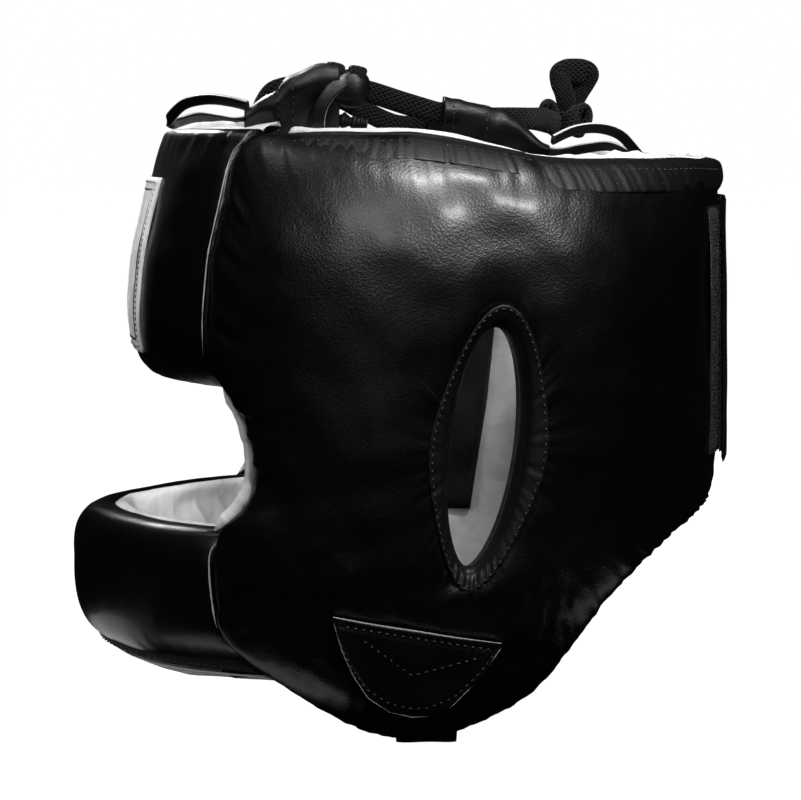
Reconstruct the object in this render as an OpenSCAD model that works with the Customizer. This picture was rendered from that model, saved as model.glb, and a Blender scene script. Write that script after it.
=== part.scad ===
// Boxing headgear with a padded face bar, ear openings, a laced crown,
// a hook-and-loop flap at the back and a hook-and-loop chin strap.
// The wearer looks along -X, the wearer's left is -Y, and Z is up.
// Every padded panel lies on one shell surface, given by an angle round the head
// (0 at the forehead, 90 over the ear, 180 at the back), a height and a depth
// below the outside.

/* [Padded shell] */
// Half of the greatest outside width, over the ears
half_w = 110; // [100:1:120]
// From the vertical axis to the outside of the forehead
forehead_reach = 130; // [124:1:136]
// From the vertical axis to the outside of the back
back_reach = 134; // [128:1:140]
// How far the face bar stands in front of the forehead
bar_proud = 27; // [20:1:32]
// Squareness of the outline seen from above, 2 is an ellipse
plan_power = 2.2; // [2:0.05:2.5]
// Height of the crown edge above the ears
crown_z = 252; // [248:1:256]
// Height of the top edge at the back
back_top_z = 241; // [238:1:244]
// Height of the bottom edge at the back
back_low_z = 92; // [86:1:98]

/* [Padding] */
// Thickness of the side pads with leather and lining
side_pad = 24; // [20:1:28]
// Thickness of the thin pad at the back
back_pad = 13; // [11:1:16]
// Thickness of the forehead pad
forehead_pad = 28; // [24:1:30]
// Thickness of the face bar roll
bar_pad = 25; // [22:1:28]
// Leather thickness
leather_t = 1.3; // [1:0.1:1.6]
// Suede lining thickness
suede_t = 1; // [0.8:0.1:1.4]

/* [Ear opening] */
// Half of the width of the ear opening
ear_half_w = 16.5; // [13:0.5:18]
// Half of the height of the ear opening
ear_half_h = 51; // [44:1:54]
// Height of the middle of the ear opening
ear_z = 127; // [122:1:132]
// Backward lean of the opening, degrees
ear_lean = 7.4; // [0:0.2:10]

/* [Face bar and label] */
// Height of the rigid core strip inside the bar
core_h = 34; // [26:1:38]
// Thickness of the rigid core strip
core_t = 3; // [2:0.5:4]
// Half of the label's angle round the forehead, degrees
label_half_angle = 18; // [12:1:22]

/* [Closures] */
// Width of the chin strap
chin_strap_w = 25; // [20:1:30]
// Thickness of the chin strap
chin_strap_t = 2; // [1.6:0.2:2.6]
// Height of the back flap
flap_h = 115; // [100:1:120]
// Thickness of hook and of loop tape
tape_t = 1.3; // [1:0.1:1.5]
// Width of the flat crown lace
lace_w = 9.5; // [8:0.5:10]
// Diameter of the thin leather thongs
thong_d = 4.6; // [4:0.2:5]

/* [Hidden] */

black_leather = [0.06, 0.06, 0.065];
grey_suede = [0.74, 0.74, 0.73];
foam_grey = [0.3, 0.3, 0.32];
tape_black = [0.12, 0.12, 0.13];
lace_black = [0.09, 0.09, 0.1];
label_white = [0.9, 0.9, 0.9];

// The vertical axis of the shell stands this far behind the origin.
axis_x = 8.8;
gap = 0.3;
foam_gap = 0.5;
facing_w = 14;
side_arc = half_w * PI / 180;

// Height against a share of the greatest half width.
width_share = [
    [0, 0.77], [20, 0.86], [50, 0.935], [80, 0.975], [125, 1],
    [180, 0.985], [205, 0.95], [225, 0.885], [240, 0.8], [254, 0.7]
];
// Height against how far the front of the shell reaches beyond the forehead.
front_extra = [
    [0, 13], [12, 13], [24, 0.74 * bar_proud], [34, bar_proud], [95, bar_proud],
    [108, 4], [120, 0], [180, 0], [202, -3], [233, -11.5], [254, -16]
];

function plan_radius(a, z) =
    let (
        reach = a < 90 ? forehead_reach + lookup(z, front_extra) : back_reach,
        across = abs(sin(a)) / (half_w * lookup(z, width_share)),
        along = abs(cos(a)) / reach
    )
    1 / pow(pow(along, plan_power) + pow(across, plan_power), 1 / plan_power);

// A point on the shell: angle round the head, height, depth below the outside.
function shell_point(a, z, depth) =
    let (r = plan_radius(abs(a), z) - depth)
    [axis_x - r * cos(a), -r * sin(a), z];

function lerp(p, q, t) = p + (q - p) * t;

// Pad thickness round the side: full over the ears, thin at the back.
function side_thickness(a) = lookup(a, [[125, side_pad], [158, back_pad]]);

// How much of an edge's rounding is left at a share of the rounding's width.
function edge_roll(s) =
    let (left = 1 - min(1, max(0, s)))
    1 - sqrt(1 - left * left);
edge_w = 18;
ear_edge_w = 30;
function outer_depth(a, roll) = 0.3 * side_thickness(a) * roll;
function inner_depth(a, roll) = side_thickness(a) * (1 - 0.4 * roll);

// Outline of a side panel as [angle, height, rounding], from the top front corner
// down the forehead seam, round the face opening, down the bar seam, along the
// jaw, up the back and forward along the crown. A sewn seam is rounded less.
seam = 0.2;
side_edge = [
    [39, crown_z - 2, seam], [40, 222, seam], [40.5, 190, seam], [41, 162, seam],
    [43.5, 149, 0.6], [48, 136, 1], [50.5, 118, 1], [49.5, 104, 1], [46, 94, 0.6],
    [44.6, 82, seam], [44.2, 66, seam], [44.8, 50, seam], [47.5, 38, 0.6],
    [57.5, 25, 1], [68, 12, 1], [79, 5, 1], [89, 3.5, 1], [99, 5, 1], [112, 12, 1],
    [122, 26, 1], [131, 53, 1], [138, 68, 1], [145, 78, 1], [152, 84, 1],
    [160, back_low_z - 4, 1], [168, back_low_z - 1.5, 1], [176, back_low_z, 1],
    [176, 118, 1], [176, 150, 1], [176, 185, 1], [176, 220, 1],
    [176, back_top_z - 1, 1], [168, back_top_z, 1], [160, back_top_z, 1],
    [149, back_top_z, 1], [138, back_top_z, 1], [130, 241.5, 1], [122, 242, 1],
    [110, 246, 1], [98, 250, 1], [82, crown_z, 1], [66, crown_z, 1], [52, crown_z, 1]
];
outline_mm = [for (p = side_edge) [p[0] * side_arc, p[1]]];
ear_centre = [101, ear_z];

// The opening is rounder at its top than at its bottom.
function ear_radius(phi) =
    let (power = sin(phi + ear_lean) > 0 ? 2 : 1.75)
    1 / pow(
        pow(abs(cos(phi + ear_lean)) / ear_half_w, power)
        + pow(abs(sin(phi + ear_lean)) / ear_half_h, power),
        1 / power
    );

// The ear opening's edge on the line from its middle to one point of the outline.
function ear_edge(p) =
    let (phi = atan2(p[1] - ear_centre[1], (p[0] - ear_centre[0]) * side_arc))
    ear_centre + ear_radius(phi) * [cos(phi) / side_arc, sin(phi)];

function span_mm(p) =
    let (e = ear_edge(p))
    norm([(p[0] - e[0]) * side_arc, p[1] - e[1]]);

// Angle and height of the place at distance d from the ear opening, towards p.
function flat_at(p, d) = lerp(ear_edge(p), [p[0], p[1]], d / span_mm(p));

function segment_distance(q, a, b) =
    let (
        ab = b - a,
        t = min(1, max(0, (q - a) * ab / (ab * ab)))
    )
    norm(q - a - t * ab);

function outline_distance(flat) =
    let (q = [flat[0] * side_arc, flat[1]], n = len(outline_mm))
    min([for (i = [0:n - 1]) segment_distance(q, outline_mm[i], outline_mm[(i + 1) % n])]);

function roll_at(p, d) =
    max(
        edge_roll(outline_distance(flat_at(p, d)) / edge_w) * p[2],
        edge_roll(d / ear_edge_w)
    );

// A point of a side panel at distance d from the ear opening.
function side_point(p, d, depth) =
    let (flat = flat_at(p, d))
    shell_point(flat[0], flat[1], depth);

function side_depth(p, d, inside) =
    let (a = flat_at(p, d)[0], roll = roll_at(p, d))
    inside ? inner_depth(a, roll) : outer_depth(a, roll);

// Distances from the ear opening's edge at which a side panel has a ring of points.
function ring_steps(p) =
    let (w = span_mm(p))
    [0, 3, 10, 20, lerp(20, w - 20, 1 / 3), lerp(20, w - 20, 2 / 3), w - 20, w - 10, w - 3, w];

// The same rings without the two at the panel's edges.
function inner_rings(p) =
    let (steps = ring_steps(p))
    [for (i = [1:len(steps) - 2]) steps[i]];

// Closed solid between two grids of points that match. Each grid is a list of
// columns. A looped grid joins its last column to its first.
module thick_sheet(front, back, loop = false) {
    columns = len(front);
    rows = len(front[0]);
    last = loop ? columns - 1 : columns - 2;
    shift = columns * rows;
    function id(k, j) = (k % columns) * rows + j;
    points = [for (grid = [front, back]) for (column = grid) each column];
    outside = [
        for (k = [0:last]) for (j = [0:rows - 2])
            [id(k, j), id(k, j + 1), id(k + 1, j + 1), id(k + 1, j)]
    ];
    inside = [for (f = outside) [f[0] + shift, f[3] + shift, f[2] + shift, f[1] + shift]];
    low_rim = [for (k = [0:last]) [id(k + 1, 0), id(k + 1, 0) + shift, id(k, 0) + shift, id(k, 0)]];
    high_rim = [
        for (k = [0:last]) let (a = id(k, rows - 1), b = id(k + 1, rows - 1))
            [a, a + shift, b + shift, b]
    ];
    first_end = [
        for (j = [0:rows - 2])
            [id(0, j) + shift, id(0, j + 1) + shift, id(0, j + 1), id(0, j)]
    ];
    last_end = [
        for (j = [0:rows - 2]) let (a = id(columns - 1, j), b = id(columns - 1, j + 1))
            [a, b, b + shift, a + shift]
    ];
    quads = concat(outside, inside, low_rim, high_rim, loop ? [] : concat(first_end, last_end));
    polyhedron(points, [for (q = quads) each [[q[0], q[1], q[2]], [q[0], q[2], q[3]]]]);
}

// Makes the left piece and, mirrored, the right one.
module on_side(right) {
    mirror([0, right ? 1 : 0, 0])
        children();
}

// ---- Side panels ----

module side_cover(right) {
    color(black_leather)
        on_side(right)
            thick_sheet(
                [
                    for (p = side_edge) let (w = span_mm(p)) concat(
                        [side_point(p, 0, side_depth(p, 0, true) - suede_t - gap)],
                        [for (d = ring_steps(p)) side_point(p, d, side_depth(p, d, false))],
                        [side_point(p, w, side_depth(p, w, true) - suede_t - gap)]
                    )
                ],
                [
                    for (p = side_edge) let (w = span_mm(p), t = leather_t) concat(
                        [side_point(p, t, side_depth(p, 0, true) - suede_t - gap)],
                        [
                            for (d = ring_steps(p))
                                side_point(p, min(max(d, t), w - t), side_depth(p, d, false) + t)
                        ],
                        [side_point(p, w - t, side_depth(p, w, true) - suede_t - gap)]
                    )
                ],
                loop = true
            );
}

module side_foam(right) {
    color(foam_grey)
        on_side(right)
            thick_sheet(
                [
                    for (p = side_edge)
                        [
                            for (d = inner_rings(p))
                                side_point(p, d, side_depth(p, d, false) + leather_t + foam_gap)
                        ]
                ],
                [
                    for (p = side_edge)
                        [
                            for (d = inner_rings(p))
                                side_point(p, d, side_depth(p, d, true) - suede_t - foam_gap)
                        ]
                ],
                loop = true
            );
}

module side_lining(right) {
    color(grey_suede)
        on_side(right)
            thick_sheet(
                [
                    for (p = side_edge)
                        [for (d = ring_steps(p)) side_point(p, d, side_depth(p, d, true) - suede_t)]
                ],
                [
                    for (p = side_edge)
                        [for (d = ring_steps(p)) side_point(p, d, side_depth(p, d, true))]
                ],
                loop = true
            );
}

// Depth on the wall of the ear opening, at a share of the way in.
function wall_depth(p, s) = lerp(side_depth(p, 0, false), side_depth(p, 0, true), s);

// Leather band that lines the wall of the ear opening.
module ear_binding(right) {
    band = [-0.6, 0.25, 0.75, 1.05];
    color(black_leather)
        on_side(right)
            thick_sheet(
                [
                    for (p = side_edge)
                        [
                            for (s = band)
                                side_point(p, -1.6, wall_depth(p, s))
                        ]
                ],
                [
                    for (p = side_edge)
                        [
                            for (s = band)
                                side_point(p, -gap, wall_depth(p, s))
                        ]
                ],
                loop = true
            );
}

// Leather facing sewn on the lining round the inside of the ear opening.
module ear_facing(right) {
    rings = [0, 3, 10, facing_w];
    color(black_leather)
        on_side(right)
            thick_sheet(
                [
                    for (p = side_edge)
                        [for (d = rings) side_point(p, d, side_depth(p, d, true) + foam_gap)]
                ],
                [
                    for (p = side_edge)
                        [for (d = rings) side_point(p, d, side_depth(p, d, true) + foam_gap + 1)]
                ],
                loop = true
            );
}

// Sheet of leather that closes the right ear opening from the inside. Its rear
// edge is straight and its lower edge is square.
module ear_backing() {
    low = 69;
    high = 184;
    function rear(z) = 110.4 + 0.0725 * (z - low);
    function sheet(depth) = [
        for (i = [0:6])
            [for (j = [0:8]) let (z = lerp(low, high, j / 8)) shell_point(lerp(88, rear(z), i / 6), z, depth)]
    ];
    color(black_leather)
        on_side(true)
            thick_sheet(sheet(24.2), sheet(25.4));
}

// ---- Panels of revolution: the forehead pad and the face bar ----

// Angles at which the forehead and the bar have a column of points.
function sweep(half_angle, count) = [for (i = [0:count]) lerp(-half_angle, half_angle, i / count)];

// Moves each point of a [height, depth] path to its left-hand side by t.
function offset_path(path, t) = [
    for (i = [0:len(path) - 1])
        let (
            before = path[max(0, i - 1)],
            after = path[min(len(path) - 1, i + 1)],
            along = (after - before) / norm(after - before)
        )
        path[i] + t * [-along[1], along[0]]
];

module swept_sheet(angles, front_path, back_path) {
    thick_sheet(
        [for (a = angles) [for (p = front_path) shell_point(a, p[0], p[1])]],
        [for (a = angles) [for (p = back_path) shell_point(a, p[0], p[1])]]
    );
}

brow_z = 149;
forehead_angle = 38.2;
forehead_top = crown_z + 2;
// Leather outline of the forehead pad from the lining at the brow, round the
// front, to the lining at the crown, as [height, depth].
forehead_path = [
    [brow_z + 4, forehead_pad - 2], [brow_z + 0.5, forehead_pad - 9], [brow_z, 12],
    [brow_z + 3.5, 6], [brow_z + 10, 1.5], [brow_z + 22, 0], [brow_z + 45, 0],
    [brow_z + 70, 0], [brow_z + 92, 0.4], [forehead_top - 3, 1.6], [forehead_top, 6],
    [forehead_top, 14], [forehead_top - 3, forehead_pad - 2]
];
bar_angle = 43.4;
bar_reach = forehead_reach + bar_proud;
// Leather outline of the face bar from its upper inside edge round to the lower.
bar_path = [
    [91, bar_pad - 1.5], [94.5, 17], [93.5, 10], [89, 5.5], [83, 2.4], [74, 0.5], [62, 0],
    [49, 0], [41, 1.6], [35.5, 5], [31, 11], [30, 17], [32, bar_pad - 1.5]
];

// A foam slab between two depths, kept under the cover's outline.
function under_path(path, heights, extra) =
    let (rise = [for (i = [len(path) - 1:-1:0]) path[i]])
    [for (z = heights) [z, lookup(z, path[0][0] < path[len(path) - 1][0] ? path : rise) + extra]];
function level_path(heights, depth) = [for (z = heights) [z, depth]];

module forehead_cover() {
    color(black_leather)
        swept_sheet(sweep(forehead_angle, 14), forehead_path, offset_path(forehead_path, leather_t));
}

forehead_heights = [brow_z + 12, brow_z + 24, brow_z + 46, brow_z + 70, brow_z + 90, forehead_top - 6];

module forehead_foam() {
    front = [for (z = forehead_heights) [z, leather_t + 2.4]];
    color(foam_grey)
        swept_sheet(
            sweep(forehead_angle - 1, 12),
            concat([[brow_z + 4, 11]], front, [[forehead_top - 2.5, 9]]),
            concat(
                [[brow_z + 4, 16]],
                level_path(forehead_heights, forehead_pad - suede_t - 1),
                [[forehead_top - 2.5, 13]]
            )
        );
}

module forehead_lining() {
    heights = concat([brow_z + 5], forehead_heights, [forehead_top - 2]);
    color(grey_suede)
        swept_sheet(
            sweep(forehead_angle, 14),
            level_path(heights, forehead_pad - suede_t),
            level_path(heights, forehead_pad)
        );
}

module forehead_label() {
    heights = [159, 180, 202, 218, 233];
    color(label_white)
        swept_sheet(sweep(label_half_angle, 8), level_path(heights, -1.5), level_path(heights, -gap));
}

module bar_cover() {
    color(black_leather)
        swept_sheet(sweep(bar_angle, 18), bar_path, offset_path(bar_path, -leather_t));
}

core_mid_z = 62;
core_depth = 11.5;
core_gap = 0.8;
bar_heights = [38, 46, 62, 76, 84];

module bar_outer_foam() {
    front = [for (z = bar_heights) [z, z < 40 || z > 80 ? 6.8 : 3.4]];
    color(foam_grey)
        swept_sheet(sweep(bar_angle - 1, 14), front, level_path(bar_heights, core_depth - core_gap));
}

module bar_core() {
    heights = [core_mid_z - core_h / 2, core_mid_z + core_h / 2];
    color([0.85, 0.85, 0.82])
        swept_sheet(
            sweep(bar_angle + 12, 20),
            level_path(heights, core_depth),
            level_path(heights, core_depth + core_t)
        );
}

module bar_inner_foam() {
    heights = [35, 46, 62, 78, 89];
    color(foam_grey)
        swept_sheet(
            sweep(bar_angle - 1, 14),
            level_path(heights, core_depth + core_t + core_gap),
            level_path(heights, bar_pad - suede_t - 1)
        );
}

// Suede on the inside of the bar. It bulges below the roll.
module bar_lining() {
    inner = [[26.5, 19], [27.5, 23], [36, 26], [62, 27.5], [84, 26.5], [92, 25.2]];
    outer = [
        [28, 19.2], [30, 22.6], [36, bar_pad - 0.3], [62, bar_pad], [84, bar_pad],
        [91.5, bar_pad - 0.8]
    ];
    color(grey_suede)
        swept_sheet(sweep(bar_angle, 18), outer, inner);
}

// Black binding tape along the lower edge of the bar.
module bar_lower_binding() {
    color(tape_black)
        swept_sheet(
            sweep(bar_angle - 2, 16),
            [[28.6, 10.4], [26.8, 13.5], [26.3, 18.4]],
            [[29.8, 11], [28.4, 13.8], [27.7, 18.4]]
        );
}

// Leather end tab that ties the lower binding to the jaw edge.
module bar_tab(right) {
    angles = [44.8, 46.4, 48, 49.6];
    color(black_leather)
        on_side(right)
            swept_sheet(angles, [[26, 19], [34, 19]], [[26.5, 21], [34, 21]]);
}

// ---- Hems ----

// Height of the top edge of a side panel at an angle.
top_edge = [
    [39, crown_z - 2], [52, crown_z], [82, crown_z], [98, 250], [110, 246],
    [122, 242], [138, back_top_z], [176, back_top_z]
];

// A strip of leather that lies on the outside of the top edge.
module edge_strip(from_angle, to_angle, columns, height, clear, lift) {
    steps = [height, 0.6 * height, 0.3 * height, 0.08 * height, -0.8];
    angles = [for (i = [0:columns]) lerp(from_angle, to_angle, i / columns)];
    function strip_point(a, d, stand) =
        shell_point(a, lookup(a, top_edge) - d, outer_depth(a, edge_roll(d / edge_w)) - stand);
    thick_sheet(
        [for (a = angles) [for (d = steps) strip_point(a, d, clear + lift)]],
        [for (a = angles) [for (d = steps) strip_point(a, d, clear)]]
    );
}

module crown_hem(right) {
    color(black_leather)
        on_side(right)
            edge_strip(42, 116, 14, 9, 2.3, 1.2);
}

module rear_hem(right) {
    color(black_leather)
        on_side(right)
            edge_strip(119, 175.5, 12, 12, gap, 2);
}

// ---- Crown lacing ----

keeper_y = 46;
lace_t = 5;

// A sewn leather tab whose folded top makes a tunnel for the lace along X.
module keeper(x, length, tunnel_z, foot_z, right) {
    foot_y = 49;
    color(black_leather)
        on_side(right)
            translate([x, 0, 0])
                rotate([90, 0, 90])
                    linear_extrude(height = length)
                        union() {
                            difference() {
                                translate([-keeper_y, tunnel_z])
                                    circle(r = lace_w / 2 + 2.6, $fn = 40);
                                translate([-keeper_y, tunnel_z])
                                    circle(r = lace_w / 2 + 0.4, $fn = 40);
                            }
                            polygon([
                                [-foot_y - 2.5, foot_z], [-foot_y + 1.5, foot_z],
                                [-keeper_y + 2, tunnel_z - lace_w / 2 - 1.2],
                                [-keeper_y - 5, tunnel_z - lace_w / 2 + 1]
                            ]);
                        }
}

front_tunnel_z = 272;
front_foot_z = forehead_top + 0.6;
rear_tunnel_z = 259;
rear_foot_z = 241;

// Tube through a list of points, with sides around it and its ends closed.
module tube(route, d, sides) {
    n = len(route);
    function heading(i) =
        let (v = route[min(n - 1, i + 1)] - route[max(0, i - 1)])
        v / norm(v);
    function across(v) =
        let (c = cross(v, abs(v[2]) > 0.9 ? [1, 0, 0] : [0, 0, 1]))
        c / norm(c);
    function ring(i) =
        let (v = heading(i), a = across(v), b = cross(v, a))
        [for (s = [0:sides - 1]) route[i] + d / 2 * (cos(360 * s / sides) * a + sin(360 * s / sides) * b)];
    walls = [
        for (i = [0:n - 2]) for (s = [0:sides - 1])
            let (t = (s + 1) % sides)
            each [
                [i * sides + s, (i + 1) * sides + s, (i + 1) * sides + t],
                [i * sides + s, (i + 1) * sides + t, i * sides + t]
            ]
    ];
    caps = [
        for (s = [1:sides - 2])
            each [[0, s, s + 1], [(n - 1) * sides, (n - 1) * sides + s + 1, (n - 1) * sides + s]]
    ];
    polyhedron([for (i = [0:n - 1]) each ring(i)], concat(walls, caps));
}

// Smooth curve through the points of a route, with steps pieces in each span.
function smooth(route, steps) = [
    for (i = [0:len(route) - 2]) for (s = [0:steps - 1])
        let (
            t = s / steps,
            p0 = route[max(0, i - 1)],
            p1 = route[i],
            p2 = route[i + 1],
            p3 = route[min(len(route) - 1, i + 2)]
        )
        0.5 * (2 * p1 + (p2 - p0) * t + (2 * p0 - 5 * p1 + 4 * p2 - p3) * t * t
            + (3 * p1 - p0 - 3 * p2 + p3) * t * t * t),
    route[len(route) - 1]
];

// The lace runs from the knot forward on the left, across and back on the right.
crown_lace_route = [
    [68, -9, 257], [61, -24, 259], [52, -38, 259], [43, -45, 259], [30, -46, 259],
    [18, -46, 260], [0, -46, 265], [-16, -46, 270], [-28, -46, 272], [-45, -46, 272],
    [-55, -45, 270], [-61, -38, 264], [-63, -26, 260], [-63, -12, 259], [-63, 0, 259],
    [-63, 12, 259], [-63, 26, 260], [-61, 38, 264], [-55, 45, 270], [-45, 46, 272],
    [-30, 46, 271], [-16, 46, 264], [0, 46, 257], [14, 46, 257], [22, 46, 259],
    [43, 45, 259], [52, 38, 259], [61, 24, 259], [68, 9, 257]
];
front_thong_route = [
    [-66, -48, 264], [-74, -43, 266], [-84, -33, 267], [-94, -18, 265], [-101, -6, 259],
    [-100, 0, 257], [-97, 7, 258], [-90, 18, 260], [-82, 29, 259], [-75, 38, 258], [-68, 47, 259]
];
rear_thong_route = [
    [62, -44, 250], [72, -37, 254], [84, -27, 255], [95, -17, 252], [104, -9, 244],
    [111, -4, 237], [114, 0, 234], [112, 4, 236], [106, 12, 242], [97, 21, 247],
    [86, 30, 246], [75, 38, 244], [66, 44, 246]
];
bow_route = [
    [72, -2, 265], [68, -3, 270], [66, -3, 277], [68, -2, 282], [76, 0, 284],
    [84, 1, 282], [86, 1, 276], [83, 1, 270], [77, 1, 265]
];

module crown_lace() {
    color(lace_black)
        tube(smooth(crown_lace_route, 2), lace_t + 2, 10);
}

module lace_knot() {
    color(lace_black)
        translate([74, 0, 257])
            resize([16, 18, 15])
                sphere(r = 8, $fn = 24);
}

module lace_bow() {
    color(lace_black)
        tube(smooth(bow_route, 3), 5, 8);
}

module front_thong() {
    color(black_leather)
        tube(smooth(front_thong_route, 2), thong_d, 8);
}

module rear_thong() {
    color(black_leather)
        tube(smooth(rear_thong_route, 2), thong_d, 8);
}

// ---- Back flap ----

flap_low_z = 111;
flap_angles = [for (i = [0:9]) lerp(163.5, 197, i / 9)];
root_angles = [197.8, 199.5, 201.5, 203.5];
flap_heights = [flap_low_z, flap_low_z + flap_h / 2, flap_low_z + flap_h];
tape_depth = -gap - tape_t;
flap_depth = 2 * tape_depth - 0.1;

module back_skin(angles, heights, depth, t) {
    swept_sheet(
        angles,
        level_path(heights, depth - t),
        level_path(heights, depth)
    );
}

tape_heights = [flap_low_z + 4, flap_low_z + flap_h / 2, flap_low_z + flap_h - 4];

module back_loop_tape() {
    color(tape_black)
        back_skin([for (i = [0:4]) lerp(158, 175, i / 4)], tape_heights, -gap, tape_t);
}

module flap_hook_tape() {
    color(tape_black)
        back_skin([for (i = [0:4]) lerp(164.5, 178, i / 4)], tape_heights, tape_depth - gap, tape_t);
}

module back_flap() {
    color(black_leather)
        back_skin(flap_angles, flap_heights, flap_depth - gap, 1.8);
}

module flap_root() {
    color(black_leather)
        back_skin(root_angles, flap_heights, -gap, 5);
}

// ---- Chin strap ----

strap_x = -6;
fold_y = 84.5;
free_y = 69;
strap_gap = 0.4;

// Depth of the cheek's outside near the jaw, at a height.
function jaw_depth(z) = outer_depth(90, edge_roll((z - 3.5) / edge_w));

// Half-round leather patch sewn to the cheek, with the strap coming from under it.
module chin_patch(right) {
    top_front = [68.5, 60];
    top_back = [104.5, 48];
    depth_mm = 40;
    function patch_point(s, t, lift) =
        let (
            top = lerp(top_front, top_back, s),
            drop = 0.05 + 0.95 * pow(1 - pow(abs(2 * s - 1), 2.4), 1 / 2.1),
            z = top[1] - depth_mm * drop * t
        )
        shell_point(top[0], z, jaw_depth(z) - lift);
    steps = [0, 0.02, 0.06, 0.12, 0.22, 0.36, 0.5, 0.64, 0.78, 0.88, 0.94, 0.98, 1];
    color(black_leather)
        on_side(right)
            thick_sheet(
                [for (s = steps) [for (j = [6:-1:0]) patch_point(s, j / 6, 4.3)]],
                [for (s = steps) [for (j = [6:-1:0]) patch_point(s, j / 6, 3)]]
            );
}

// Webbing tab from under the patch, round the jaw edge and in under the cheek.
module chin_tab(right) {
    t = chin_strap_t;
    function cheek_y(z) = plan_radius(90, z) - jaw_depth(z);
    outline = concat(
        [for (z = [26, 18, 12, 8, 5]) [-cheek_y(z) - gap - t, z]],
        [[-fold_y + 3, 1], [-fold_y + 5.5, 0], [-free_y, 0], [-free_y, t], [-fold_y + 6, t]],
        [for (z = [5, 8, 12, 18, 26]) [-cheek_y(z) - gap, z + (z < 6 ? 0.6 : 0)]]
    );
    color(tape_black)
        on_side(right)
            translate([strap_x, 0, 0])
                rotate([90, 0, 90])
                    linear_extrude(height = chin_strap_w)
                        polygon(outline);
}

strap_start = free_y - 4;
upper_z = 2 * tape_t + chin_strap_t + 2 * strap_gap;

// Lower half, from the right cheek, flat on whatever the headgear stands on.
module chin_strap_right() {
    color(black_leather)
        translate([strap_x, -36, 0])
            cube([chin_strap_w, 36 + strap_start, chin_strap_t]);
}

// Upper half, from the left cheek, rising to lie over the lower half.
module chin_strap_left() {
    t = chin_strap_t;
    color(black_leather)
        translate([strap_x, 0, 0])
            rotate([90, 0, 90])
                linear_extrude(height = chin_strap_w)
                    polygon([
                        [-strap_start, 0], [-56, 0], [-44, upper_z], [38, upper_z],
                        [38, upper_z + t], [-45, upper_z + t], [-57, t], [-strap_start, t]
                    ]);
}

module chin_hook_tape() {
    color(tape_black)
        translate([strap_x + 2, -34, chin_strap_t + 0.1])
            cube([chin_strap_w - 4, 66, tape_t]);
}

module chin_loop_tape() {
    color(tape_black)
        translate([strap_x + 2, -32, upper_z - tape_t - 0.1])
            cube([chin_strap_w - 4, 66, tape_t]);
}

forehead_cover();
forehead_foam();
forehead_lining();
forehead_label();
side_cover(false);  // side_cover_left
side_cover(true);  // side_cover_right
side_foam(false);  // side_foam_left
side_foam(true);  // side_foam_right
side_lining(false);  // side_lining_left
side_lining(true);  // side_lining_right
ear_binding(false);  // ear_binding_left
ear_binding(true);  // ear_binding_right
ear_facing(false);  // ear_facing_left
ear_facing(true);  // ear_facing_right
ear_backing();  // ear_backing_right
bar_cover();
bar_outer_foam();
bar_core();
bar_inner_foam();
bar_lining();
bar_lower_binding();
bar_tab(false);  // bar_tab_left
bar_tab(true);  // bar_tab_right
crown_hem(false);  // crown_hem_left
crown_hem(true);  // crown_hem_right
rear_hem(false);  // rear_hem_left
rear_hem(true);  // rear_hem_right
keeper(-54, 24, front_tunnel_z, front_foot_z, false);  // front_keeper_left
keeper(-54, 24, front_tunnel_z, front_foot_z, true);  // front_keeper_right
keeper(18, 24, rear_tunnel_z, rear_foot_z, false);  // rear_keeper_left
keeper(18, 24, rear_tunnel_z, rear_foot_z, true);  // rear_keeper_right
front_thong();
rear_thong();
crown_lace();
lace_knot();
lace_bow();
flap_root();
back_flap();
flap_hook_tape();
back_loop_tape();
chin_patch(false);  // chin_patch_left
chin_patch(true);  // chin_patch_right
chin_tab(false);  // chin_tab_left
chin_tab(true);  // chin_tab_right
chin_strap_left();
chin_strap_right();
chin_loop_tape();
chin_hook_tape();
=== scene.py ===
import bpy
import math
import numpy as np
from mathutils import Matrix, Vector


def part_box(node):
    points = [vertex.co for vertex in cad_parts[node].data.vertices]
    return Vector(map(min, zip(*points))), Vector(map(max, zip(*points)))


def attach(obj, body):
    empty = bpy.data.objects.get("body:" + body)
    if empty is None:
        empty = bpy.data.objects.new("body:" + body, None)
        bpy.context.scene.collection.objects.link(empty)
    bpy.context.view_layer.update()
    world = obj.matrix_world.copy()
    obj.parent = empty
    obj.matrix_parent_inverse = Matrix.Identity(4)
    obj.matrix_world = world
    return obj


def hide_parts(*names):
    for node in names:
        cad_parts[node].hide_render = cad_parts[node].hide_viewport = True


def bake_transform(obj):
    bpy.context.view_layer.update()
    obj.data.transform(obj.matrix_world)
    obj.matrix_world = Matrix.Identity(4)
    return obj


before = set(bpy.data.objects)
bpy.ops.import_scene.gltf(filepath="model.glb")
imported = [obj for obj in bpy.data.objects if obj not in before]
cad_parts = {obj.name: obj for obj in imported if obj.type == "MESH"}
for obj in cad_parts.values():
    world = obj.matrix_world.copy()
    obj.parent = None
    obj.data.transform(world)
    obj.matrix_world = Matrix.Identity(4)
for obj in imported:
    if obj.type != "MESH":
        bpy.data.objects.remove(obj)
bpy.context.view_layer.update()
MM = 0.001

# ---------------------------------------------------------------- camera
scene = bpy.context.scene
cam_data = bpy.data.cameras.new("camera")
cam = bpy.data.objects.new("camera", cam_data)
scene.collection.objects.link(cam)
scene.camera = cam
target = np.array([0.0, 0.0, 0.134])
azimuth, elevation, distance = math.radians(-3.0), math.radians(7.5), 0.9
direction = np.array([
    math.sin(azimuth) * math.cos(elevation),
    -math.cos(azimuth) * math.cos(elevation),
    math.sin(elevation),
])
cam.location = (target + distance * direction).tolist()
cam.rotation_euler = (math.pi / 2 - elevation, 0, azimuth)
cam_data.lens = 90
cam_data.sensor_width = 36
cam_data.clip_start = 0.02
cam_data.clip_end = 20

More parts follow.
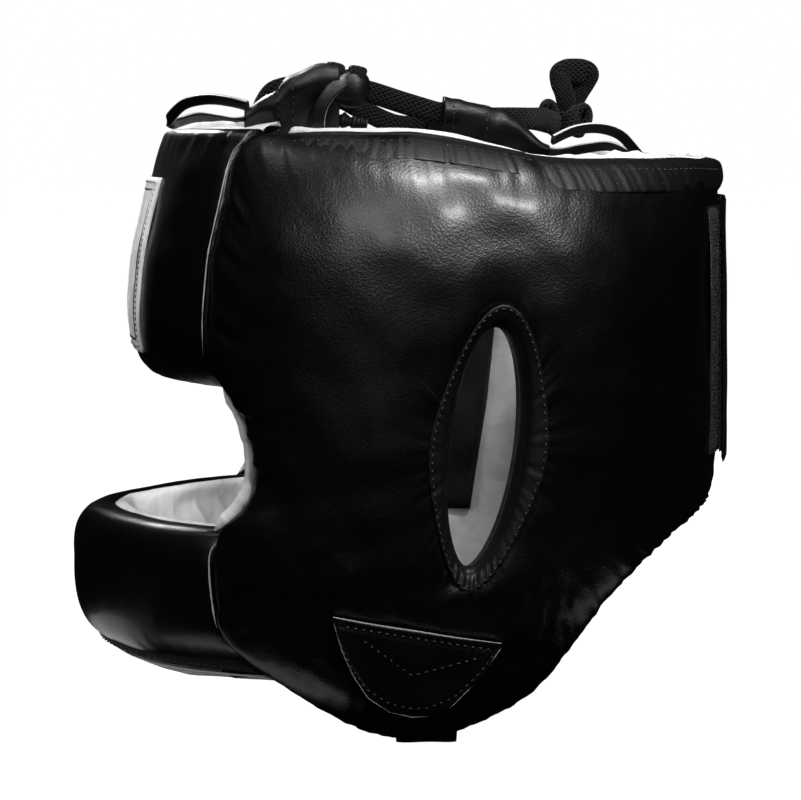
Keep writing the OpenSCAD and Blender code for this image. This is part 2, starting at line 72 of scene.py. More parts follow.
# ---------------------------------------------------------------- shell, as in the CAD source, in mm
HALF_W, FORE, BACK, PROUD, POWER, AXIS = 110.0, 130.0, 131.2, 27.0, 2.2, 8.8
ARC = HALF_W * math.pi / 180
BROW = 149.0
SIDE_PAD, BACK_PAD, SUEDE = 24.0, 13.0, 1.0
EAR_A, EAR_Z, EAR_W, EAR_H, EAR_LEAN = 101.0, 127.0, 16.5, 51.0, math.radians(7.4)
EDGE_W, EAR_EDGE_W = 18.0, 30.0
# ends of the seam between the side panels and the front
SEAM_LOW, SEAM_HIGH = 38, 249.5
# shares of a pad's depth by which its front and its back round off at an edge
FRONT_ROLL, BACK_ROLL = 0.3, 0.4
SIDES = (("left", False), ("right", True))
UP = np.array([0.0, 0.0, 1.0])


def table_curve(pairs, spread=4.0):
    """A smoothed line through [height, value] pairs, as a function of the height."""
    z = np.arange(-80.0, 341.0, 1.0)
    v = np.interp(z, *zip(*pairs))
    k = np.exp(-0.5 * (np.arange(-30, 31) / spread) ** 2)
    v = np.convolve(np.pad(v, 30, mode="edge"), k / k.sum(), mode="valid")
    return lambda q: np.interp(q, z, v)


width_share = table_curve([
    [0, 0.77], [20, 0.86], [50, 0.935], [80, 0.975], [125, 1],
    [180, 0.985], [205, 0.95], [225, 0.885], [240, 0.8], [254, 0.7],
])
front_extra = table_curve([
    [0, 13], [12, 13], [24, 0.74 * PROUD], [34, PROUD], [95, PROUD], [108, 4],
    [120, 0], [180, 0], [202, -3], [233, -11.5], [254, -16],
])


def radius(a, z):
    """Reach of the shell from its axis at angle a in degrees and height z."""
    r = np.radians(np.abs(a))
    reach = np.where(np.abs(a) < 90, FORE + front_extra(z), BACK)
    across = np.abs(np.sin(r)) / (HALF_W * width_share(z))
    return ((np.abs(np.cos(r)) / reach) ** POWER + across ** POWER) ** (-1 / POWER)


def shell(a, z, depth=0.0):
    """Points at angle a and height z, the given depth below the shell's surface."""
    a, z, depth = np.broadcast_arrays(np.asarray(a, float), np.asarray(z, float), np.asarray(depth, float))
    r = np.radians(a)
    reach = radius(a, z) - depth
    return np.stack([AXIS - reach * np.cos(r), -reach * np.sin(r), z], -1)


def edge_roll(s):
    """1 at an edge and 0 from s = 1 inwards, as a quarter circle."""
    left = 1 - np.clip(s, 0, 1)
    return 1 - np.sqrt(np.clip(1 - left * left, 0, 1))


def pad_at(a):
    return np.interp(a, [120, 163], [SIDE_PAD, BACK_PAD])


def spline(points, steps, closed=False):
    p = np.asarray(points, float)
    n = len(p)
    out = []
    spans = n if closed else n - 1
    for i in range(spans):
        if closed:
            p0, p1, p2, p3 = p[i - 1], p[i], p[(i + 1) % n], p[(i + 2) % n]
        else:
            p0, p1, p2, p3 = p[max(0, i - 1)], p[i], p[i + 1], p[min(n - 1, i + 2)]
        t = (np.arange(steps) / steps)[:, None]
        out.append(0.5 * (2 * p1 + (p2 - p0) * t + (2 * p0 - 5 * p1 + 4 * p2 - p3) * t * t
                          + (3 * p1 - p0 - 3 * p2 + p3) * t * t * t))
    if not closed:
        out.append(p[-1][None])
    return np.concatenate(out)


def way_along(points):
    """Distance along a line from its first point to each of its points."""
    return np.concatenate([[0], np.cumsum(np.linalg.norm(np.diff(points, axis=0), axis=1))])


def resample(points, count, closed=False):
    """Evenly spaced points along a line."""
    p = np.asarray(points, float)
    q = np.vstack([p, p[:1]]) if closed else p
    s = way_along(q)
    t = np.linspace(0, s[-1], count, endpoint=not closed)
    return np.stack([np.interp(t, s, q[:, k]) for k in range(q.shape[1])], -1)


def waves(points, size, seed, count=28):
    """A smooth random field of about unit spread over points in mm."""
    r = np.random.default_rng(seed)
    k = r.normal(size=(count, 3))
    k = k / np.linalg.norm(k, axis=1)[:, None] * (2 * math.pi / size) * r.uniform(0.6, 1.5, count)[:, None]
    phase = r.uniform(0, 2 * math.pi, count)
    flat = points.reshape(-1, 3)
    total = np.zeros(len(flat))
    for i in range(count):
        total += np.cos(flat @ k[i] + phase[i])
    return (total * math.sqrt(2 / count)).reshape(points.shape[:-1])


def ripple(s, size, seed, count=9):
    """Uneven gathers along a seam: s is the way along it in mm."""
    r = np.random.default_rng(seed)
    total = np.zeros_like(s, dtype=float)
    for i in range(count):
        total += np.cos(2 * math.pi * s / (size * r.uniform(0.65, 1.6)) + r.uniform(0, 2 * math.pi))
    return total * math.sqrt(2 / count)


# ---------------------------------------------------------------- meshes
BAR_END_DROP, CORNER_SHIFT = 4.2, 6.5


def step(value, start, width):
    """0 up to start and 1 from start + width on, rounded at both ends."""
    t = np.clip((value - start) / width, 0, 1)
    return t ** 2 * (3 - 2 * t)


def settle(points):
    """The right-hand end of the face bar sits lower, and that corner of the face opening further back."""
    v = np.array(points, float)
    x, y, z = v.T
    share = step(y, -45, 100) * step(z, 55, 28) * step(-z, -132, 24) * step(-x, 42, 16)
    z -= BAR_END_DROP * share
    x += CORNER_SHIFT * step(y, 20, 40) * step(z, 78, 14) * step(-z, -140, 30) * step(-x, 38, 16)
    return v


def mesh_object(name, verts, faces, material, body, uv=None, smooth=True):
    me = bpy.data.meshes.new(name)
    verts = settle(verts) if body == "shell" else np.asarray(verts, float)
    me.from_pydata((verts * MM).tolist(), [], faces)
    if uv is not None:
        layer = me.uv_layers.new(name="UVMap")
        loops = np.zeros(len(me.loops), dtype=np.int32)
        me.loops.foreach_get("vertex_index", loops)
        layer.data.foreach_set("uv", np.asarray(uv, float)[loops].ravel())
    if smooth:
        me.polygons.foreach_set("use_smooth", [True] * len(me.polygons))
    me.materials.append(material)
    me.validate()
    me.update()
    ob = bpy.data.objects.new(name, me)
    scene.collection.objects.link(ob)
    if body:
        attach(ob, body)
    return ob


def grid_faces(columns, rows, loop=False, shift=0, flip=False, loop_rows=False):
    out = []
    last = columns if loop else columns - 1
    lastr = rows if loop_rows else rows - 1
    for k in range(last):
        k2 = (k + 1) % columns
        for j in range(lastr):
            j2 = (j + 1) % rows
            q = (k * rows + j, k * rows + j2, k2 * rows + j2, k2 * rows + j)
            q = tuple(v + shift for v in q)
            out.append(q[::-1] if flip else q)
    return out


def piece(name, grids, material, node, loop=False, flip=False):
    """A sheet between two grids that rides on the shell and stands for one CAD node."""
    verts, faces = sheet_solid(*grids, loop=loop)
    ob = mesh_object(name, verts, [f[::-1] for f in faces] if flip else faces, material, "shell")
    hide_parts(node)
    return ob


def mirrored(points, right):
    return points * np.array([1, -1, 1]) if right else points


def sheet_solid(front, back, loop=False):
    """Closed solid between two matching grids, as verts and faces."""
    c, r = front.shape[:2]
    shift = c * r
    verts = np.concatenate([front.reshape(-1, 3), back.reshape(-1, 3)])
    faces = grid_faces(c, r, loop) + grid_faces(c, r, loop, shift, True)
    last = c if loop else c - 1
    for k in range(last):
        k2 = (k + 1) % c
        a, b = k * r, k2 * r
        faces.append((b, b + shift, a + shift, a))
        a, b = a + r - 1, b + r - 1
        faces.append((a, a + shift, b + shift, b))
    if not loop:
        for j in range(r - 1):
            faces.append((j + shift, j + 1 + shift, j + 1, j))
            a = (c - 1) * r + j
            faces.append((a, a + 1, a + 1 + shift, a + shift))
    return verts, faces


# ---------------------------------------------------------------- materials
def node_material(name):
    m = bpy.data.materials.new(name)
    m.use_nodes = True
    nt = m.node_tree
    bsdf = next(n for n in nt.nodes if n.type == "BSDF_PRINCIPLED")
    return m, nt, bsdf


def set_inputs(node, values):
    for name, value in values.items():
        node.inputs[name].default_value = value


def coordinates(nt, kind="Object"):
    return nt.nodes.new("ShaderNodeTexCoord").outputs[kind]


def texture(nt, where, kind, **inputs):
    """A texture node that reads the coordinates given as where."""
    n = nt.nodes.new("ShaderNodeTex" + kind)
    set_inputs(n, inputs)
    nt.links.new(where, n.inputs["Vector"])
    return n


def noise(nt, where, **inputs):
    return texture(nt, where, "Noise", **inputs).outputs["Fac"]


def combine(nt, operation, first, second):
    n = nt.nodes.new("ShaderNodeMath")
    n.operation = operation
    nt.links.new(first, n.inputs[0])
    nt.links.new(second, n.inputs[1])
    return n.outputs[0]


def mix_values(nt, fac, low, high):
    n = nt.nodes.new("ShaderNodeMapRange")
    set_inputs(n, {"To Min": low, "To Max": high})
    nt.links.new(fac, n.inputs["Value"])
    return n.outputs["Result"]


def ramp(nt, fac, stops):
    n = nt.nodes.new("ShaderNodeValToRGB")
    el = n.color_ramp.elements
    while len(el) < len(stops):
        el.new(1.0)
    for e, (place, colour) in zip(el, stops):
        e.position = place
        e.color = (*colour, 1)
    nt.links.new(fac, n.inputs["Fac"])
    return n.outputs["Color"]


def greys(nt, fac, level, stops):
    """A ramp of greys: each stop is a place and a share of the level."""
    return ramp(nt, fac, [(place, (level * share,) * 3) for place, share in stops])


def bump(nt, height, strength, dist, after=None):
    n = nt.nodes.new("ShaderNodeBump")
    set_inputs(n, {"Strength": strength, "Distance": dist})
    nt.links.new(height, n.inputs["Height"])
    if after is not None:
        nt.links.new(after, n.inputs["Normal"])
    return n.outputs["Normal"]


def leather(name, dark, rough, coat, grain=1.0, crease=1.0):
    """Fine-grained finished leather: pebbles, soft creases, rubbed and dusty places."""
    m, nt, bsdf = node_material(name)
    co = coordinates(nt)
    warp = texture(nt, co, "Noise", Scale=60.0, Detail=3.0)
    moved = nt.nodes.new("ShaderNodeVectorMath")
    moved.operation = "MULTIPLY_ADD"
    moved.inputs[1].default_value = (0.006, 0.006, 0.006)
    nt.links.new(warp.outputs["Color"], moved.inputs[0])
    nt.links.new(co, moved.inputs[2])
    pebble = texture(nt, moved.outputs[0], "Voronoi", Scale=1050.0)
    pebble.feature = "SMOOTH_F1"
    pebble.inputs["Smoothness"].default_value = 0.55
    fine = noise(nt, co, Scale=900.0, Detail=4.0)
    soft = noise(nt, co, Scale=38.0, Detail=5.0, Distortion=0.8)
    wear = noise(nt, co, Scale=14.0, Detail=4.0)
    spot = noise(nt, co, Scale=170.0, Detail=4.0, Roughness=0.7)
    n1 = bump(nt, soft, 0.22 * crease, 0.0014)
    n2 = bump(nt, pebble.outputs["Distance"], 0.26 * grain, 0.00032, n1)
    n3 = bump(nt, fine, 0.2 * grain, 0.00022, n2)
    nt.links.new(n3, bsdf.inputs["Normal"])
    base = ramp(nt, wear, [
        (0.3, (dark * 0.75,) * 3),
        (0.62, (dark * 1.05, dark * 1.05, dark * 1.08)),
        (0.8, (dark * 1.6,) * 3)])
    nt.links.new(base, bsdf.inputs["Base Color"])
    worn = mix_values(nt, wear, rough - 0.06, rough + 0.07)
    spotted = mix_values(nt, spot, -0.05, 0.06)
    nt.links.new(combine(nt, "ADD", worn, spotted), bsdf.inputs["Roughness"])
    set_inputs(bsdf, {"IOR": 1.48, "Coat Weight": coat, "Coat Roughness": 0.22})
    return m


def suede(name, level):
    """Napped split leather: matte, mottled where the nap is brushed."""
    m, nt, bsdf = node_material(name)
    co = coordinates(nt)
    nap = noise(nt, co, Scale=1500.0, Detail=5.0, Roughness=0.75)
    brushed = noise(nt, co, Scale=55.0, Detail=6.0, Roughness=0.62, Distortion=1.2)
    soil = noise(nt, co, Scale=9.0, Detail=3.0)
    tone = ramp(nt, brushed, [
        (0.25, (level * 0.72,) * 3),
        (0.55, (level * 0.95, level * 0.95, level * 0.94)),
        (0.78, (level * 1.1,) * 3)])
    mixer = nt.nodes.new("ShaderNodeMixRGB")
    mixer.blend_type = "MULTIPLY"
    mixer.inputs["Fac"].default_value = 0.5
    nt.links.new(tone, mixer.inputs[1])
    nt.links.new(greys(nt, soil, 1.0, [(0.3, 0.72), (0.7, 1.0)]), mixer.inputs[2])
    nt.links.new(mixer.outputs[0], bsdf.inputs["Base Color"])
    n1 = bump(nt, brushed, 0.25, 0.0012)
    nt.links.new(bump(nt, nap, 0.55, 0.0005, n1), bsdf.inputs["Normal"])
    set_inputs(bsdf, {"Roughness": 0.93, "Specular IOR Level": 0.15})
    set_inputs(bsdf, {"Sheen Weight": 0.5, "Sheen Roughness": 0.55})
    return m


def woven(name, level, scale, rough, depth, sheen):
    """Plain weave in object space, with uneven yarns and fuzz."""
    m, nt, bsdf = node_material(name)
    co = coordinates(nt)
    yarns = []
    for axis in "XYZ":
        w = texture(nt, co, "Wave", Scale=scale / 6.3, Distortion=0.6, Detail=1.0)
        w.bands_direction = axis
        yarns.append(w.outputs["Fac"])
    weave = combine(nt, "ADD", combine(nt, "MULTIPLY", yarns[0], yarns[2]), yarns[1])
    fuzzy = noise(nt, co, Scale=1400.0, Detail=4.0, Roughness=0.7)
    mottle = noise(nt, co, Scale=70.0, Detail=4.0)
    nt.links.new(greys(nt, mottle, level, [(0.3, 0.78), (0.7, 1.12)]), bsdf.inputs["Base Color"])
    n1 = bump(nt, weave, 0.6, depth)
    nt.links.new(bump(nt, fuzzy, 0.4, 0.0003, n1), bsdf.inputs["Normal"])
    set_inputs(bsdf, {"Roughness": rough, "Sheen Weight": sheen})
    return m


def braid_material(name, level):
    """Flat braid: two sets of slanting yarns from the tube's own map."""
    m, nt, bsdf = node_material(name)
    uv = coordinates(nt, "UV")
    yarns = []
    for turn in (0.9, -0.9):
        mp = nt.nodes.new("ShaderNodeMapping")
        mp.inputs["Rotation"].default_value = (0, 0, turn)
        nt.links.new(uv, mp.inputs["Vector"])
        w = texture(nt, mp.outputs[0], "Wave", Scale=0.19, Distortion=0.4, Detail=1.0)
        yarns.append(w.outputs["Fac"])
    plait = combine(nt, "MAXIMUM", *yarns)
    nt.links.new(greys(nt, plait, level, [(0.3, 0.5), (0.9, 1.25)]), bsdf.inputs["Base Color"])
    fuzzy = noise(nt, coordinates(nt), Scale=1200.0, Detail=3.0)
    n1 = bump(nt, plait, 0.9, 0.0009)
    nt.links.new(bump(nt, fuzzy, 0.35, 0.0003, n1), bsdf.inputs["Normal"])
    set_inputs(bsdf, {"Roughness": 0.65, "Specular IOR Level": 0.16, "Sheen Weight": 0.03})
    return m


def grained(name, level, rough, scale, depth):
    """Plain material with one noise for its tone and its grain."""
    m, nt, bsdf = node_material(name)
    grain = noise(nt, coordinates(nt), Scale=scale, Detail=5.0)
    nt.links.new(greys(nt, grain, level, [(0.3, 0.8), (0.7, 1.1)]), bsdf.inputs["Base Color"])
    nt.links.new(bump(nt, grain, 0.5, depth), bsdf.inputs["Normal"])
    bsdf.inputs["Roughness"].default_value = rough
    return m


M_LEATHER = leather("panel_leather", 0.0008, 0.34, 0.22)
M_HEM = leather("hem_leather", 0.0011, 0.5, 0.06, grain=0.8)
M_STRAP = leather("strap_leather_finish", 0.0016, 0.46, 0.12, grain=0.7, crease=0.6)
M_THONG = leather("thong_leather_finish", 0.0025, 0.4, 0.2, grain=0.5, crease=0.6)
# pale split-leather edge; on the seam cords and the thong edges it also paints a highlight line
M_RAW_EDGE_AND_HIGHLIGHT = leather("raw_edge_and_painted_highlight", 0.4, 0.7, 0.0, grain=0.8, crease=0.4)
M_SUEDE = suede("lining_suede", 0.72)
M_TAPE = woven("hook_loop_pile", 0.007, 1200.0, 0.9, 0.0005, 0.05)
M_BINDING = woven("binding_weave", 0.002, 1500.0, 0.9, 0.0003, 0.02)
M_LABEL = woven("label_weave", 0.9, 1600.0, 0.85, 0.0003, 0.1)
M_BRAID = braid_material("lace_braid_finish", 0.004)
M_THREAD = grained("thread", 0.035, 0.45, 900.0, 0.0002)
M_LABEL_THREAD = grained("label_thread", 0.06, 0.6, 900.0, 0.0002)
M_FOAM = grained("foam_cells", 0.2, 0.9, 500.0, 0.0006)
M_CORE = grained("core_nylon", 0.7, 0.42, 220.0, 0.0001)

# ---------------------------------------------------------------- side panels: outline and grid
SEAM = 0.2
SIDE_EDGE = [
    [39, 250, SEAM], [40, 222, SEAM], [40.5, 190, SEAM], [41, 162, SEAM],
    [43.5, 149, 0.6], [48, 136, 1], [50.5, 118, 1], [49.5, 104, 1], [46, 94, 0.6],
    [44.6, 82, SEAM], [44.2, 66, SEAM], [44.8, 50, SEAM], [47.5, 38, 0.6],
    [56, 22.2, 1], [66.5, 8.8, 1], [77.5, 2.4, 1], [89, 2.2, 1], [98.4, 5.2, 1], [110.4, 14.9, 1],
    [119.4, 29.6, 1], [128.2, 55.6, 1], [136, 70.6, 1], [144.3, 80.4, 1], [152, 86.8, 1],
    [160, 90.4, 1], [168, 91.8, 1], [176, 92.6, 1], [176, 118, 1], [176, 150, 1], [176, 185, 1],
    [176, 220, 1], [176, 240, 1], [168, 241, 1], [160, 241, 1], [149, 241, 1], [138, 241, 1],
    [130, 241.5, 1], [122, 242, 1], [110, 246, 1], [98, 250, 1], [82, 252, 1], [66, 252, 1], [52, 252, 1],
]
COLUMNS = 460
edge_mm = np.array([[p[0] * ARC, p[1], p[2]] for p in SIDE_EDGE])
smooth_edge = spline(edge_mm, 10, closed=True)
dense = np.vstack([smooth_edge, smooth_edge[:1]])
way = way_along(dense[:, :2])
t_cols = np.linspace(0, way[-1], COLUMNS, endpoint=False)
P = np.stack([np.interp(t_cols, way, dense[:, k]) for k in range(3)], -1)
P[:, 0] = np.minimum(P[:, 0], 176.5 * ARC)
OUT_A, OUT_Z, OUT_W = P[:, 0] / ARC, P[:, 1], np.clip(P[:, 2], 0, 1)


def ear_radius(phi):
    c, s = np.cos(phi + EAR_LEAN), np.sin(phi + EAR_LEAN)
    power = np.where(s > 0, 2.0, 1.75)
    return ((np.abs(c) / EAR_W) ** power + (np.abs(s) / EAR_H) ** power) ** (-1 / power)


phi = np.arctan2(OUT_Z - EAR_Z, P[:, 0] - EAR_A * ARC)
E = np.stack([EAR_A * ARC + ear_radius(phi) * np.cos(phi), EAR_Z + ear_radius(phi) * np.sin(phi)], -1)
SPAN = np.linalg.norm(P[:, :2] - E, axis=1)


def outline_distance(q):
    flat = q.reshape(-1, 2)
    a = P[::2, :2]
    b = np.roll(a, -1, 0)
    ab = b - a
    best = np.full(len(flat), 1e9)
    for i in range(len(a)):
        t = np.clip(((flat - a[i]) @ ab[i]) / max(ab[i] @ ab[i], 1e-9), 0, 1)
        d = flat - a[i] - t[:, None] * ab[i]
        best = np.minimum(best, d[:, 0] ** 2 + d[:, 1] ** 2)
    return np.sqrt(best).reshape(q.shape[:-1])


def side_rows(middle):
    """Shares of the way from the ear opening to the outline, for every column."""
    arc = np.linspace(0, math.pi / 2, 12)
    near = EAR_EDGE_W * (1 - np.cos(arc))
    far = EDGE_W * (1 - np.cos(arc))
    rows = []
    for w in SPAN:
        mid = np.linspace(near[-1], w - far[-1], middle + 2)[1:-1]
        rows.append(np.concatenate([near, mid, (w - far)[::-1]]))
    return np.array(rows)


def side_flat(d):
    share = (d / SPAN[:, None])[..., None]
    return E[:, None, :] + (P[:, None, :2] - E[:, None, :]) * share


ROWS = side_rows(34)
FLAT = side_flat(ROWS)
SIDE_A, SIDE_Z = FLAT[..., 0] / ARC, FLAT[..., 1]
DIST = outline_distance(FLAT)
weight = OUT_W[:, None] * np.ones_like(ROWS)
sewn = np.clip(1 - OUT_W, 0, 1)[:, None]
ROLL = np.maximum(edge_roll(DIST / EDGE_W) * weight, edge_roll(ROWS / EAR_EDGE_W))
PAD = pad_at(SIDE_A)
S_OUT = t_cols[:, None] * np.ones_like(ROWS)
EAR_S = way_along(E)[:, None] * np.ones_like(ROWS)
base_points = shell(SIDE_A, SIDE_Z, FRONT_ROLL * PAD * ROLL)


def ridge(a0, z0, a1, z1, wide, tall):
    """A soft raised fold from one place on the shell to another."""
    p = np.stack([SIDE_A * ARC, SIDE_Z], -1)
    s, e = np.array([a0 * ARC, z0]), np.array([a1 * ARC, z1])
    along = e - s
    t = np.clip(((p - s) @ along) / (along @ along), 0, 1)
    d = np.linalg.norm(p - s - t[..., None] * along, axis=-1)
    return tall * np.exp(-(d / wide) ** 2) * (0.35 + 0.65 * np.sin(np.pi * np.clip(t, 0.02, 0.98)))


FOLDS = [
    (62, 52, 72, 68, 3.4, 0.35), (60, 64, 72, 78, 3.0, 0.3), (110, 60, 121, 88, 5, 0.4),
    (58, 84, 72, 92, 4, 0.35), (70, 34, 88, 38, 6, 0.4), (124, 96, 142, 104, 6, 0.45),
]


def side_relief(seed):
    """Height of the leather over the plain pad: bulges, gathers at the edges, seams and folds."""
    h = 0.55 * waves(base_points, 70, seed) + 0.22 * waves(base_points, 26, seed + 1)
    free = np.exp(-DIST / 9.0)
    h += 0.30 * free * ripple(S_OUT, 9.0, seed + 2) * (0.4 + 0.6 * weight)
    h += 0.16 * np.exp(-DIST / 5.0) * ripple(S_OUT, 4.6, seed + 3)
    ear_near = np.exp(-((ROWS - 9) / 7.0) ** 2)
    h += 0.13 * ear_near * ripple(EAR_S, 11.0, seed + 4)
    h += 0.07 * ear_near * ripple(EAR_S, 5.0, seed + 5)
    h -= 0.6 * np.exp(-((ROWS - 8.2) / 1.3) ** 2)
    # sewn seams against the forehead and the bar are drawn in
    h -= 1.7 * edge_roll(DIST / 6.0) * sewn
    h += 0.3 * np.exp(-((DIST - 9) / 6.0) ** 2) * sewn * ripple(S_OUT, 12.0, seed + 6)
    # the crumpled fold under the ear opening and looser leather towards the jaw
    h += ridge(91, 66, 103, 71, 4.2, 1.6)
    h -= ridge(90, 73, 103, 77, 2.4, 0.7)
    for fold in FOLDS:
        h += ridge(*fold)
    low = np.clip((120 - SIDE_Z) / 60, 0, 1)
    h += 0.12 * low * waves(base_points, 9, seed + 7)
    return h


def lining_edge_lift(z):
    return 2.8 * np.clip((z - 236) / 8, 0, 1)


def side_leather(tag, right):
    """Outer leather, with its walls at the ear opening and round the outline back to the lining."""
    outer = FRONT_ROLL * PAD * ROLL - side_relief(50 if right else 11)
    front = shell(SIDE_A, SIDE_Z, outer)
    steps = np.array([0.98, 0.8, 0.6, 0.4, 0.2])
    ear_in = PAD[:, 0] * (1 - BACK_ROLL) - SUEDE
    ear_out = outer[:, 0]
    ear_wall = shell(SIDE_A[:, :1], SIDE_Z[:, :1], ear_out[:, None] + (ear_in - ear_out)[:, None] * steps)
    rim_in = PAD[:, -1] * (1 - BACK_ROLL * OUT_W) - SUEDE
    rim_in = np.where(OUT_W > 0.5, rim_in, PAD[:, -1] - 2 - SUEDE)
    rim_out = outer[:, -1]
    rim_depth = rim_out[:, None] + (rim_in - rim_out)[:, None] * steps[::-1]
    rim_wall = shell(SIDE_A[:, -1:], SIDE_Z[:, -1:], rim_depth)
    whole = mirrored(np.concatenate([ear_wall, front, rim_wall], axis=1), right)
    faces = grid_faces(*whole.shape[:2], loop=True, flip=not right)
    ob = mesh_object(f"side_leather_{tag}", whole.reshape(-1, 3), faces, M_LEATHER, "shell")
    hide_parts(f"side_cover_{tag}")


def side_suede(tag, right):
    """Lining of a side panel, gathered at its edges and puffed out over the rear crown edge."""
    share = 0.5 - 0.5 * np.cos(np.pi * np.linspace(0, 1, 26))
    d = SPAN[:, None] * share[None, :]
    flat = side_flat(d)
    a, z = flat[..., 0] / ARC, flat[..., 1]
    dist = outline_distance(flat)
    roll = np.maximum(edge_roll(dist / EDGE_W) * OUT_W[:, None], edge_roll(d / EAR_EDGE_W))
    pad = pad_at(a)
    gathers = ripple(t_cols[:, None] * np.ones_like(d), 11.0, 81 + right)
    pleat = 0.5 * waves(shell(a, z, pad), 34, 80 + right) + 0.45 * np.exp(-dist / 14) * gathers
    depth = pad * (1 - BACK_ROLL * roll) + pleat * 0.7 - 0.2
    puff = 2.6 * np.exp(-((a - 146) / 13) ** 2) * np.clip((z - 234) / 7, 0, 1)
    puff = puff * (1 + 0.5 * ripple(a * 2, 14.0, 84))
    inner = shell(a, z + (lining_edge_lift(z) + puff) * np.exp(-dist / 3.0), depth)
    back = shell(a, z, depth - SUEDE)
    piece(f"side_suede_{tag}", (mirrored(inner, right), mirrored(back, right)), M_SUEDE,
          f"side_lining_{tag}", loop=True, flip=right)


for tag, flip in SIDES:
    side_leather(tag, flip)
    side_suede(tag, flip)


def unit(v):
    return v / np.maximum(np.linalg.norm(v, axis=-1, keepdims=True), 1e-9)


def outward(points):
    """Rough outward direction of the shell at points, in mm."""
    v = np.stack([(points[..., 0] - AXIS) / 1.3, points[..., 1], np.zeros(points.shape[:-1])], -1)
    return unit(v)


def stitch_row(name, points, normals, body="shell", pitch=3.6, length=2.3, thick=0.34, lift=0.12,
               material=None, closed=False):
    """A row of thread stitches lying along a line on the leather."""
    p = np.asarray(points, float)
    if closed:
        p = np.vstack([p, p[:1]])
        normals = np.vstack([normals, normals[:1]])
    s = way_along(p)
    count = max(2, int(s[-1] / pitch))
    centres = (np.arange(count) + 0.5) * s[-1] / count
    at = lambda q, v: np.stack([np.interp(q, s, v[:, k]) for k in range(3)], -1)
    r = np.random.default_rng(len(name) * 31 + count)
    half = length / 2 * r.uniform(0.88, 1.08, count)
    a, b = at(centres - half, p), at(centres + half, p)
    n = unit(at(centres, normals))
    t = unit(b - a)
    side = np.cross(t, n)
    tilt = r.normal(0, 0.12, count)[:, None] * side
    verts, faces = [], []
    ring = [(0, 1.0), (0.866, 0.5), (0.866, -0.5), (0, -1.0), (-0.866, -0.5), (-0.866, 0.5)]
    for i in range(count):
        base = len(verts)
        verts.append(a[i] - n[i] * 0.25 - tilt[i])
        for share, size in ((0.3, 0.92), (0.7, 0.92)):
            mid = a[i] + (b[i] - a[i]) * share + n[i] * lift + tilt[i] * (share - 0.5) * 2
            for u, w in ring:
                verts.append(mid + thick * size * (u * side[i] + w * n[i]))
        verts.append(b[i] - n[i] * 0.25 + tilt[i])
        for k in range(6):
            k2 = (k + 1) % 6
            faces.append((base, base + 1 + k2, base + 1 + k))
            faces.append((base + 1 + k, base + 1 + k2, base + 7 + k2, base + 7 + k))
            faces.append((base + 7 + k, base + 7 + k2, base + 13))
    return mesh_object(name, verts, faces, material or M_THREAD, body)


def ribbon(route, half_w, half_t, wide, sides=16, power=0.75):
    """Rings of a flat band along a route: wide gives the direction of its width at each point."""
    p = np.asarray(route, float)
    t = unit(np.gradient(p, axis=0))
    w = np.broadcast_to(np.asarray(wide, float), p.shape)
    w = unit(w - (w * t).sum(1)[:, None] * t)
    n = np.cross(t, w)
    th = np.linspace(0, 2 * math.pi, sides, endpoint=False)
    ct = np.sign(np.cos(th)) * np.abs(np.cos(th)) ** power
    st = np.sign(np.sin(th)) * np.abs(np.sin(th)) ** power
    hw = np.broadcast_to(half_w, (len(p),))[:, None, None]
    ht = np.broadcast_to(half_t, (len(p),))[:, None, None]
    return p[:, None] + hw * ct[None, :, None] * w[:, None] + ht * st[None, :, None] * n[:, None]


def tube_mesh(name, rings, material, body, closed=False):
    """Closed rings joined into a tube, with a map in mm along and round it."""
    c, r = rings.shape[:2]
    verts = rings.reshape(-1, 3)
    way = way_along(rings.mean(1))
    around = way_along(rings[c // 2])
    uvs = np.stack(np.broadcast_arrays(way[:, None], around[None, :]), -1).reshape(-1, 2)
    faces = grid_faces(c, r, loop=closed, loop_rows=True)
    if not closed:
        faces.append(tuple(range(r)))
        faces.append(tuple((c - 1) * r + j for j in range(r - 1, -1, -1)))
    return mesh_object(name, verts, faces, material, body, uv=uvs)


# ---------------------------------------------------------------- padding inside the panels
def front_edge_angle(z):
    """Angle of the seam between the side panel and the forehead pad or the bar at height z."""
    last = int(np.argmax(OUT_Z < 37))
    zs, angles = OUT_Z[:last][::-1], OUT_A[:last][::-1]
    return np.interp(z, zs, angles)


def swept(angle_of_z, path, us):
    """Points of a panel swept round the head: path is [height, depth], us from -1 to 1."""
    a = us[:, None] * angle_of_z(path[:, 0])[None, :]
    return a, np.broadcast_to(path[:, 0], a.shape), np.broadcast_to(path[:, 1], a.shape)


def end_shares(count):
    """Shares from -1 to 1 that lie closer together at the ends."""
    u = np.linspace(-1, 1, count)
    return np.sin(u * math.pi / 2) * 0.55 + u * 0.45


def padding_block(name, heights, front, back, count, node):
    us = np.linspace(-1, 1, count)
    grids = [shell(*swept(lambda z: front_edge_angle(z) - 3.0, np.stack([heights, depths], -1), us))
             for depths in (front, back)]
    piece(name, grids, M_FOAM, node)


def side_padding(tag, flip):
    d = SPAN[:, None] * np.linspace(0.07, 0.93, 12)[None, :]
    flat = side_flat(d)
    a, z = flat[..., 0] / ARC, flat[..., 1]
    roll = np.maximum(edge_roll(outline_distance(flat) / EDGE_W) * OUT_W[:, None], edge_roll(d / EAR_EDGE_W))
    pad = pad_at(a)
    grids = [mirrored(shell(a, z, depth)[::2], flip)
             for depth in (FRONT_ROLL * pad * roll + 4.2, pad * (1 - BACK_ROLL * roll) - 3.6)]
    piece(f"side_padding_{tag}", grids, M_FOAM, f"side_foam_{tag}", loop=True)


